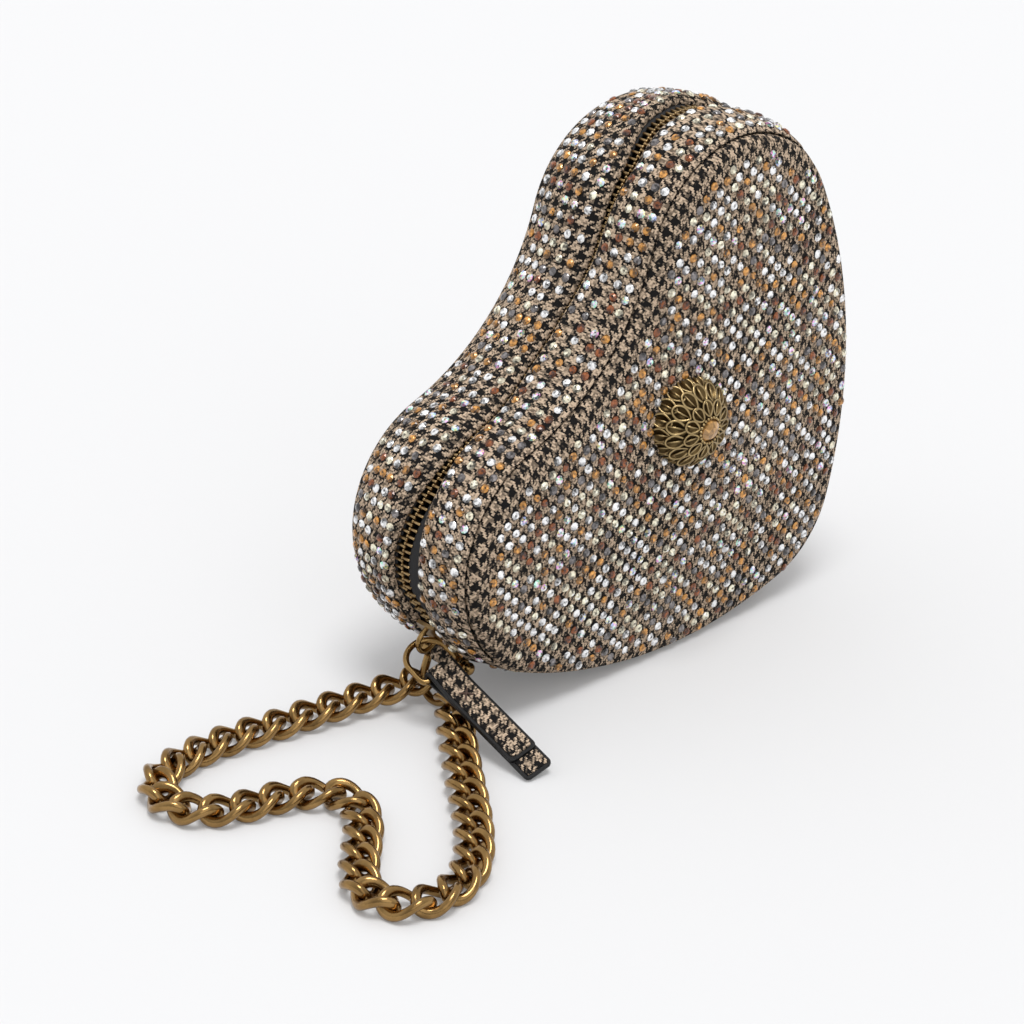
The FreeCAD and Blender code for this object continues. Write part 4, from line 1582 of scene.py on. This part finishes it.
@dataclass
class Medallion:
    """Round boss of layered petals with a cut stone.

    Each tier holds the petals' place up the dome in degrees, their count, width and half length.
    """

    place: Pair = (0.0114, 0.0020)
    reach: float = 0.0136
    clear: float = 0.0004
    face: float = 0.0262
    rise: float = 0.0106
    tiers: tuple[tuple[float, int, float, float], ...] = (
        (13.0, 18, 0.0049, 0.0034),
        (36.0, 15, 0.0049, 0.0034),
        (58.0, 11, 0.0043, 0.0027),
    )
    petal_tilt: float = -9.0
    petal_inset: float = 0.0008
    petal_taper: float = 0.35
    petal_rim: float = 0.12
    petal_height: float = 0.0008
    petal_hollow: float = 0.0005
    vein_share: Pair = (1.5, 0.09)
    vein_height: float = 0.0005
    dome_inset: float = 0.001
    dome_foot: float = -0.0002
    rim_wire: float = 0.0006
    beads: int = 22
    bead_radius: float = 0.00052
    bead_ring: float = 0.0040
    bead_sink: float = 0.0001
    stone_sink: float = 0.0006
    amber: Colour = (0.55, 0.30, 0.10)

    def __post_init__(self) -> None:
        """Make the brass of the recesses and the brass of the edges."""
        dark = ((0.15, 0.10, 0.042), (0.03, 0.019, 0.009))
        bright = ((0.46, 0.335, 0.16), (0.18, 0.12, 0.055))
        self.dark = Brass("dark medallion brass", *dark, 0.9, 0.4).material()
        self.bright = Brass("rubbed medallion brass", *bright, 0.4, 0.3).material()

    def build(self) -> None:
        """Model the boss and dress the CAD node beside it."""
        pose = OUTLINE.pose(*self.place, self.face)
        parts = [self.build_boss()]
        for lean, count, width, length in self.tiers:
            petal = self.build_petal(width, length)
            parts.append(scatter("petals", petal, self.tier(lean, count)))
        parts.append(self.build_beads())
        piece = join("medallion_petals", parts)
        seat(piece, pose)
        settle(piece, "medallion", Side.FRONT.body)
        self.build_stone(pose)
        dress_node("medallion_prongs", self.dark)

    def tier(self, lean: float, count: int) -> list[Matrix]:
        """Frames of one tier of petals on the dome.

        Args:
            lean: How far up the dome the tier sits, in degrees.
            count: How many petals it has.

        Returns:
            A frame for each petal, with its first axis down the dome.
        """
        cosine, sine = math.cos(math.radians(lean)), math.sin(math.radians(lean))
        wide, high = self.reach - self.petal_inset, self.rise
        down = Vector((wide * sine, 0.0, -high * cosine)).normalized()
        across = Vector((0.0, 1.0, 0.0))
        on_dome = axes(down, across, down.cross(across), (wide * cosine, 0.0, high * sine))
        tilt = Matrix.Rotation(math.radians(self.petal_tilt), 4, "Y")
        turns = [2 * math.pi * (order + lean / 50.0) / count for order in range(count)]
        return [Matrix.Rotation(turn, 4, "Z") @ on_dome @ tilt for turn in turns]

    def build_boss(self) -> Object:
        """Model the dome under the petals with a rim round its foot.

        Returns:
            The boss at the origin.
        """
        wide = self.reach - self.dome_inset
        ball = {"segments": 48, "ring_count": 24, "radius": 1.0}
        size = (wide, wide, self.rise)
        dome = primitive("medallion_dome", bpy.ops.mesh.primitive_uv_sphere_add, size, **ball)
        plane = {"plane_co": (0, 0, self.dome_foot), "plane_no": (0, 0, 1)}
        with editing(dome):
            bpy.ops.mesh.bisect(**plane, use_fill=True, clear_inner=True)
        dress(dome, self.dark)
        smooth(dome, 60.0)
        rim = primitive(
            "medallion_rim",
            bpy.ops.mesh.primitive_torus_add,
            major_segments=64,
            minor_segments=10,
            major_radius=self.reach - self.rim_wire,
            minor_radius=self.rim_wire,
        )
        dress(smooth(rim), self.bright)
        return join("medallion_boss", [dome, rim])

    def build_petal(self, width: float, length: float) -> Object:
        """Model one petal: a bright rim round a dark hollow with a vein.

        Args:
            width: Its width.
            length: Half its length.

        Returns:
            The petal at the origin.
        """
        disc = {"vertices": 20, "radius": 1.0, "fill_type": "NGON"}
        petal = primitive("petal", bpy.ops.mesh.primitive_circle_add, **disc)
        for vertex in petal.data.vertices:
            taper = 1.0 - self.petal_taper * max(0.0, -vertex.co.x)
            vertex.co = (vertex.co.x * length, vertex.co.y * width / 2 * taper, 0.0)
        up, down = (0, 0, self.petal_height), (0, 0, -self.petal_hollow)
        with editing(petal):
            bpy.ops.mesh.extrude_region_move(TRANSFORM_OT_translate={"value": up})
            bpy.ops.mesh.inset(thickness=width * self.petal_rim, depth=0.0)
            bpy.ops.mesh.extrude_region_move(TRANSFORM_OT_translate={"value": down})
        dress(petal, self.dark, self.bright)
        for face in petal.data.polygons:
            face.material_index = int(face.center.z > self.petal_height - 0.00005)
        cube = {"size": 1.0, "location": (0, 0, self.petal_hollow)}
        size = (length * self.vein_share[0], width * self.vein_share[1], self.vein_height)
        vein = primitive("vein", bpy.ops.mesh.primitive_cube_add, size, **cube)
        dress(vein, self.bright)
        return smooth(join("petal", [petal, vein]), 30.0)

    def build_beads(self) -> Object:
        """Model the ring of beads round the stone.

        Returns:
            The beads at the origin.
        """
        ball = {"segments": 10, "ring_count": 6, "radius": self.bead_radius}
        bead = smooth(primitive("bead", bpy.ops.mesh.primitive_uv_sphere_add, **ball))
        dress(bead, self.bright)
        out = Matrix.Translation((self.bead_ring, 0.0, self.rise - self.bead_sink))
        turns = [2 * math.pi * order / self.beads for order in range(self.beads)]
        return scatter("beads", bead, [Matrix.Rotation(turn, 4, "Z") @ out for turn in turns])

    def build_stone(self, pose: Matrix) -> None:
        """Model the cut stone in its collet.

        Args:
            pose: The medallion's frame.
        """
        glass = CutGlass("amber cut glass", 0.25, 0.08).material()
        flat = [(np.zeros(3), np.array([0.0, 0.0, 1.0]))]
        sizes = {"radius": 0.0034, "girdle": 0.0009, "height": 0.0022, "sides": 12}
        stone = StoneField("medallion_gem", flat, glass, 3, **sizes).build()
        # Painted glints: each facet of the gem gets a random brightness on the amber, standing in
        # for its reflections
        level = np.random.default_rng(4).uniform(0.35, 1.2, len(stone.data.polygons))
        colour_facets(stone, np.clip(level[:, None] * np.array([self.amber]), 0, 1))
        seat(stone, pose @ Matrix.Translation((0, 0, self.rise - self.stone_sink)))
        settle(stone, "medallion_stone", Side.FRONT.body)


# ---------------------------------------------------------------- metal and strap


@dataclass
class ZipTeeth:
    """Two rows of cast teeth that grip the edges of the tapes."""

    pitch: float = 0.0024
    first: float = 0.0051
    tail: float = 0.0072
    stem_size: Point = (0.0008, 0.0032, 0.0017)
    stem_place: Point = (0.0, 0.0015, 0.0)
    head_size: Point = (0.0010, 0.0008, 0.0020)
    stem_round: float = 0.00022
    head_round: float = 0.00025

    def build(self) -> None:
        """Model both rows, and dress the stop and the slider."""
        brass = Brass("zip brass", (0.40, 0.275, 0.135), (0.12, 0.08, 0.04), 0.6, 0.3)
        metal = brass.material()
        for side in Side:
            turn = Matrix.Rotation(0.0 if side is Side.FRONT else math.pi, 4, "Z")
            start = self.first if side is Side.FRONT else self.first + self.pitch / 2
            stem = block("tooth", self.stem_size, self.stem_place, self.stem_round)
            head = block("head", self.head_size, (0.0, 0.0, 0.0), self.head_round)
            tooth = join("tooth", [stem, head])
            dress(tooth, metal)
            poses = []
            for place in np.arange(start, OUTLINE.zip_run - self.tail, self.pitch):
                drift = Matrix.Translation((0.0, float(ZIP_SHIFT.wander(place)), 0.0))
                poses.append(OUTLINE.zip_frame(float(place)) @ drift @ turn)
            piece = scatter(side.word + "_teeth", tooth, poses)
            settle(piece, side.word + "_zip_teeth", side.body)
        for name in ("zip_stop", "slider_body"):
            dress_node(name, metal)


@dataclass
class Puller:
    """Bail of the slider, the ring on it and the strap folded over the ring's bar."""

    slider_place: float = 0.0060
    plate_top: float = 0.00265
    bail_leg: float = 0.0026
    bail_radius: float = 0.0032
    bail_wire: float = 0.0016
    bail_feet: Pair = (-0.0004, 0.001)
    ring_wire: float = 0.0019
    ring_top: float = 0.0034
    ring_bar: float = 0.0098
    ring_length: float = 0.0096
    ring_corner: float = 0.0017
    ring_play: float = 0.0008
    strap_drift: float = 0.00023
    strap_forward: float = 0.0530
    strap_rise: float = 0.0024
    strap_roll: float = 18.0
    width: float = 0.0096
    ply: float = 0.0011
    eye: float = 0.00125
    neck: float = 0.0090
    neck_end: float = 0.002
    upper: float = 0.0380
    lower: float = 0.0450
    edge: float = 0.0010
    edge_round: float = 0.0003
    corner: float = 0.0016
    facing_lift: float = 0.0002
    top_ply: float = 0.0005
    low_ply: float = 0.0004
    thread: float = 0.00032
    stitch_place: float = 0.0024
    stitch_reach: float = 0.0015
    stitch_lift: float = 0.0008
    stitch_dip: float = 0.0005

    def __post_init__(self) -> None:
        """Work out the frames of the slider, the ring and the strap."""
        self.slider = OUTLINE.zip_frame(self.slider_place)
        top = self.plate_top + self.bail_leg + self.bail_radius
        start = self.slider @ Vector((0.0, 0.0, top))
        end = Vector((start.x - self.strap_drift, -self.strap_forward, self.strap_rise))
        pull = (end - start).normalized()
        bar = Vector((0.0, 0.0, 1.0)).cross(pull).normalized()
        roll = Matrix.Rotation(math.radians(self.strap_roll), 4, "X")
        self.ring = axes(pull, bar, pull.cross(bar), start) @ roll
        self.clear = self.ring_top - self.ring_wire / 2 - self.bail_wire / 2 - self.ring_play
        self.strap = self.ring @ Matrix.Translation((self.clear + self.ring_length, 0.0, 0.0))

    def build(self) -> None:
        """Model the bail, the ring, the strap and its stitch."""
        self.build_wires()
        self.build_strap()
        self.build_stitch()

    def build_wires(self) -> None:
        """Bend the bail and the ring."""
        metal = Brass("puller brass", roughness=0.2).material()
        r, base = self.bail_radius, self.plate_top
        arch = bend((0.0, base + self.bail_leg), r, 180.0, 0.0, 7)
        feet = [base + height for height in self.bail_feet]
        points = [*((-r, z) for z in feet), *arch, *((r, z) for z in reversed(feet))]
        bail = wire_piece("bail", [(x, 0.0, z) for x, z in points], self.bail_wire / 2, False)
        mount(bail, self.slider, metal, "slider_bail", "slider")
        wide = self.ring_bar / 2 + self.ring_corner
        knee = (self.clear + self.ring_length - self.ring_corner, self.ring_bar / 2)
        loop = bend((knee[0], -knee[1]), self.ring_corner, -80.0, 0.0, 4)
        loop += bend(knee, self.ring_corner, 0.0, 80.0, 4)
        loop += bend((self.clear - self.ring_top + wide, 0.0), wide, 85.0, 275.0, 13)
        ring = wire_piece("puller_loop", [(x, y, 0.0) for x, y in loop], self.ring_wire / 2, True)
        mount(ring, self.ring, metal, "puller_ring", "puller_ring")

    def path(self, lift: float) -> list[Pair]:
        """The strap's run from its lower end round the bar to its upper end.

        Args:
            lift: Distance outside the middle of the leather.

        Returns:
            Pairs along the strap and above it.
        """
        half, fold = self.ply / 2 + lift, self.eye + self.ply / 2 + lift
        shares = np.linspace(0.12, 1.0, 8)
        slope = [(self.neck * s, fold + (half - fold) * s * s * (3 - 2 * s)) for s in shares]
        start = self.neck + self.neck_end
        low = [(float(x), -half) for x in np.linspace(self.lower, start, 12)]
        low += [(x, -z) for x, z in reversed(slope)]
        high = slope + [(float(x), half) for x in np.linspace(start, self.upper, 12)]
        return low + bend((0.0, 0.0), fold, 270.0, 90.0, 11) + high

    def strap_strip(
        self, name: str, path: Sequence[Pair], half: float, rounded: tuple[bool, bool]
    ) -> Object:
        """A strip of sheet along a path, with rounded corners at its ends.

        Args:
            name: The piece's name.
            path: Pairs along the strap and above it.
            half: Half the strip's width.
            rounded: Whether the first and the last end have round corners.

        Returns:
            The strip as an open sheet in the strap's frame.
        """
        line = np.array(path)
        run = lengths(line)
        places = run.copy()
        shares = np.array([0.0, 0.08, 0.3, 0.6, 1.0]) * self.corner
        for wanted, near in zip(rounded, (shares, run[-1] - shares)):
            if wanted:
                places = np.append(places, near)
        places = np.unique(np.round(places, 6))
        wide = np.full(len(places), half)
        for wanted, gone in zip(rounded, (places, run[-1] - places)):
            if wanted:
                left = np.clip(self.corner - gone, 0.0, self.corner)
                wide -= self.corner - np.sqrt(self.corner**2 - left**2)
        points = np.stack([np.interp(places, run, values) for values in line.T], axis=1)
        return strip(name, points, places, wide)

    def build_strap(self) -> None:
        """Model the leather and the cloth that faces it."""
        hide = Leather().material()
        cloth = Houndstooth("strap cloth").material()
        leather = self.strap_strip("strap_leather", self.path(0.0), self.width / 2, (True, True))
        round_edges(thicken(leather, self.ply, 0.0), self.edge_round)
        lift = self.ply / 2 + self.facing_lift
        whole = self.path(lift)
        end = self.upper - self.edge
        upper = [point for point in whole[len(whole) // 2 - 2 :] if point[0] < end]
        upper.append((end, self.ply / 2 + lift))
        level = self.facing_lift
        lower = [(self.upper + level, level), (self.lower - self.edge, level)]
        half = self.width / 2 - self.edge
        top = self.strap_strip("top_facing", upper, half, (False, True))
        thicken(top, self.top_ply, 0.0)
        low = self.strap_strip("low_facing", lower, half, (False, False))
        thicken(low, self.low_ply, 0.0)
        facing = smooth(join("strap_cloth", [top, low]), 50.0)
        mount(leather, self.strap, hide, "puller_strap", "puller_strap")
        mount(facing, self.strap, cloth, "strap_facing", "puller_strap")

    def build_stitch(self) -> None:
        """Sew the cross stitch that closes the fold."""
        cotton = PlainStock("stitch thread", (0.085, 0.045, 0.030), 0.7, 3000.0, 0.4).material()
        high = self.ply + self.stitch_lift
        middle, reach = self.neck + self.stitch_place, self.stitch_reach
        strands = []
        for way in (reach, -reach):
            ends = [(middle - reach, -way), (middle, 0.0), (middle + reach, way)]
            run = [(x, y, high - self.stitch_dip * (abs(y) > 0)) for x, y in ends]
            strands.append(wire_piece("strand", run, self.thread, False))
        stitch = join("cross_stitch", strands)
        mount(stitch, self.strap, cotton, "strap_stitch", "puller_strap")


@dataclass
class Shackle:
    """Cloth tab on the base band, with the pin in it and the bow on the pin."""

    tab_place: float = 0.0040
    tab_width: float = 0.0080
    tab_foot: float = 0.0080
    tab_ply: float = 0.0012
    tab_neck: float = 0.0026
    pin_rise: float = 0.0046
    pin_wire: float = 0.0024
    pin_fit: float = 0.0003
    pin_spare: float = 0.001
    knob: float = 0.0042
    eye_round: float = 0.0006
    bow_wire: float = 0.0026
    bow_radius: float = 0.0070
    bow_leg: float = 0.0070
    bow_rest: float = 0.00162

    def __post_init__(self) -> None:
        """Work out the frames of the tab and the bow."""
        angle = 1.5 * math.pi + self.tab_place / OUTLINE.lobe_radius
        self.tab = OUTLINE.outward_frame(OUTLINE.lobe * MIRROR, OUTLINE.lobe_radius, angle)
        pin = self.tab @ Vector((0.0, 0.0, self.pin_rise))
        hang = math.acos((pin.z - self.bow_rest) / (self.bow_leg + self.bow_radius))
        line = Vector((-math.sin(hang), 0.0, -math.cos(hang)))
        across = Vector((0.0, 1.0, 0.0))
        self.bow = axes(line, across, line.cross(across), pin)

    def build(self) -> None:
        """Model the tab, the bow and the pin."""
        wool = Houndstooth("tab cloth").material()
        metal = Brass("shackle brass", roughness=0.2).material()
        mount(self.build_tab(), self.tab, wool, "anchor_tab", "back_shell")
        mount(self.build_bow(), self.bow, metal, "shackle_bow", "shackle")
        mount(self.build_pin(), self.bow, metal, "shackle_pin", "shackle")

    def build_tab(self) -> Object:
        """Model the loop of cloth round the pin.

        Returns:
            The tab at the origin.
        """
        half, foot = self.tab_ply / 2, self.tab_foot / 2
        loop = self.pin_wire / 2 + self.pin_fit + half
        leg = [(foot, half), (foot * 0.75, half), (loop * 1.12, half * 1.6), (loop, self.tab_neck)]
        run = [(-x, z) for x, z in leg]
        run += bend((0.0, self.pin_rise), loop, 180.0, 0.0, 13) + leg[::-1]
        line = np.array(run)
        wide = np.full(len(line), self.tab_width / 2)
        tab = strip("tab_cloth", line, lengths(line), wide, flip=True)
        return smooth(thicken(tab, self.tab_ply * 0.9, 0.0), 60.0)

    def build_bow(self) -> Object:
        """Bend the bow and set its eyes.

        Returns:
            The bow at the origin.
        """
        r, leg, start = self.bow_radius, self.bow_leg, self.bow_wire / 2
        run = [(start, -r), (leg * 0.6, -r), *bend((leg, 0.0), r, -90.0, 90.0, 9)]
        run += [(leg * 0.6, r), (start, r)]
        parts = [wire_piece("bow", [(x, y, 0.0) for x, y in run], self.bow_wire / 2, False)]
        for y in (-r, r):
            eye = primitive(
                "eye",
                bpy.ops.mesh.primitive_cylinder_add,
                vertices=32,
                radius=self.pin_wire / 2 + self.bow_wire / 2,
                depth=self.bow_wire,
                location=(0.0, y, 0.0),
                rotation=(math.pi / 2, 0.0, 0.0),
            )
            round_edges(eye, self.eye_round)
            parts.append(eye)
        return join("bow", parts)

    def build_pin(self) -> Object:
        """Turn the pin with its two ball knobs.

        Returns:
            The pin at the origin.
        """
        end = self.bow_radius + self.bow_wire / 2
        rod = primitive(
            "rod",
            bpy.ops.mesh.primitive_cylinder_add,
            vertices=24,
            radius=self.pin_wire / 2,
            depth=2 * end + self.pin_spare,
            rotation=(math.pi / 2, 0.0, 0.0),
        )
        parts = [rod]
        for y in (-end - self.knob * 0.4, end + self.knob * 0.4):
            ball = primitive(
                "knob",
                bpy.ops.mesh.primitive_uv_sphere_add,
                (1.0, 0.85, 1.0),
                segments=28,
                ring_count=16,
                radius=self.knob / 2,
                location=(0.0, y, 0.0),
            )
            parts.append(ball)
        return smooth(join("pin", parts), 40.0)


@dataclass(frozen=True)
class CurbLink:
    """Oval ring of wire, twisted along its length."""

    reach: float = 0.00655
    half_width: float = 0.00465
    wire: float = 0.0016
    twist: float = -2.3

    def build(self, metal: Material) -> Object:
        """Shape one link.

        Args:
            metal: Its finish.

        Returns:
            The link at the origin.
        """
        middle = (self.reach + self.half_width) / 2
        link = primitive(
            "link",
            bpy.ops.mesh.primitive_torus_add,
            (self.reach / middle, self.half_width / middle, 1.0),
            major_segments=40,
            minor_segments=12,
            major_radius=middle,
            minor_radius=self.wire,
        )
        modify(link, "SIMPLE_DEFORM", deform_method="TWIST", deform_axis="X", angle=self.twist)
        dress(link, metal)
        return smooth(link)


@dataclass
class Chain:
    """Curb chain whose links lie where the links of the CAD chain lie, with slim end links."""

    runs: tuple[str, ...] = ("chain_back_run", "chain_middle_run", "chain_front_run")
    links: int = 13
    link: CurbLink = CurbLink()
    end_link: CurbLink = CurbLink(0.0062, 0.00485, 0.00125)
    raised: float = 0.0003

    def build(self) -> None:
        """Model every run of links, with the chain's first and last link on the shackle."""
        brass = Brass("chain brass", (0.35, 0.212, 0.080), (0.060, 0.030, 0.010), 0.5, 0.18)
        metal = brass.material()
        for name in self.runs:
            poses = self.poses(name)
            first = int(name == self.runs[0])
            last = len(poses) - int(name == self.runs[-1])
            ends = poses[:first] + poses[last:]
            parts = [scatter("links", self.link.build(metal), poses[first:last])]
            if ends:
                parts.append(scatter("end_link", self.end_link.build(metal), ends))
            piece = join(name.replace("run", "links"), parts)
            settle(piece, name, "chain")

    def poses(self, name: str) -> list[Matrix]:
        """Where the links of a run lie.

        Args:
            name: The CAD node of the run.

        Returns:
            A frame for each link, with its first axis along the link.
        """
        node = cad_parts[name]
        corners = np.array([node.matrix_world @ vertex.co for vertex in node.data.vertices])
        up = Vector((0.0, 0.0, 1.0))
        found = []
        for part in np.split(corners, self.links):
            part = np.unique(np.round(part, 7), axis=0)
            centre = part.mean(axis=0) + (0.0, 0.0, self.raised)
            values, ways = np.linalg.eigh(np.cov((part - centre)[:, :2].T))
            along = Vector((*ways[:, int(np.argmax(values))], 0.0))
            found.append(axes(along, up.cross(along), up, centre))
        return found


# ---------------------------------------------------------------- studio


@dataclass
class Studio:
    """Camera at the photograph's angle, pale floor and soft light.

    The world is dimmer on the side that dim_side points to; each sun holds its way, strength and
    width in degrees.
    """

    lens: float = 117.19
    position: Point = (-0.6490, -0.6490, 0.5024)
    view: Point = (0.606, 0.654, -0.452)
    floor_size: float = 14.0
    floor_tone: float = 0.625
    floor_glow: float = 0.12
    sky: Colour = (0.985, 0.99, 1.0)
    sky_strength: Pair = (0.86, 0.50)
    dim_side: Point = (-0.55, -0.75, 0.05)
    dim_range: Pair = (-0.1, 0.85)
    key: tuple[Point, float, float] = ((0.08, 0.20, -0.976), 1.65, 24.0)
    fill: tuple[Point, float, float] = ((0.30, 0.78, -0.55), 0.42, 50.0)

    def build(self) -> None:
        """Set the floor, the lights, the world and the camera."""
        self.build_floor()
        self.build_sky()
        self.add_sun("key", *self.key)
        self.add_sun("fill", *self.fill)
        data = bpy.data.cameras.new("camera")
        data.lens = self.lens
        data.sensor_width = 36.0
        data.clip_start = 0.01
        data.clip_end = 50.0
        camera = self.add("camera", data, self.view)
        camera.location = self.position
        bpy.context.scene.camera = camera
        bpy.context.scene.view_settings.view_transform = "Standard"
        log.info("studio built")

    def add(self, name: str, data: bpy.types.ID, way: Point) -> Object:
        """Add a camera or a lamp.

        Args:
            name: Its name.
            data: Its settings.
            way: The direction in which it points.

        Returns:
            The new object.
        """
        item = bpy.data.objects.new(name, data)
        item.rotation_euler = Vector(way).to_track_quat("-Z", "Y").to_euler()
        bpy.context.scene.collection.objects.link(item)
        return item

    def add_sun(self, name: str, way: Point, energy: float, angle: float) -> None:
        """Add a distant lamp.

        Args:
            name: The lamp's name.
            way: The direction of its light.
            energy: Its strength.
            angle: Its width in degrees, for soft shadows.
        """
        sun = bpy.data.lights.new(name, "SUN")
        sun.energy = energy
        sun.angle = math.radians(angle)
        self.add(name, sun, way)

    def build_floor(self) -> None:
        """Lay the floor."""
        floor = primitive("floor", bpy.ops.mesh.primitive_plane_add, size=self.floor_size)
        tone = (self.floor_tone, self.floor_tone, self.floor_tone * 1.008)
        pale = PlainStock("pale floor", tone, 0.9, 3.0, 0.004, self.floor_glow)
        dress(floor, pale.material())

    def build_sky(self) -> None:
        """Light the purse from all round, with a dim side behind the camera."""
        make = SkyRecipe("studio")
        inputs = {0: make.node("TexCoord").outputs["Generated"], 1: self.dim_side}
        facing = make.node("VectorMath", inputs, operation="DOT_PRODUCT").outputs["Value"]
        strength = make.ramp(facing, self.dim_range, self.sky_strength, "SMOOTHSTEP")
        make.set(Color=self.sky, Strength=strength)


def main() -> None:
    """Build the purse piece by piece and set it in the studio."""
    logging.basicConfig(level=logging.INFO, format="%(name)s: %(message)s")
    Studio().build()
    PurseBody(StoneSetter()).build()
    Medallion().build()
    ZipTeeth().build()
    Puller().build()
    Shackle().build()
    Chain().build()


if __name__ == "__main__":
    main()
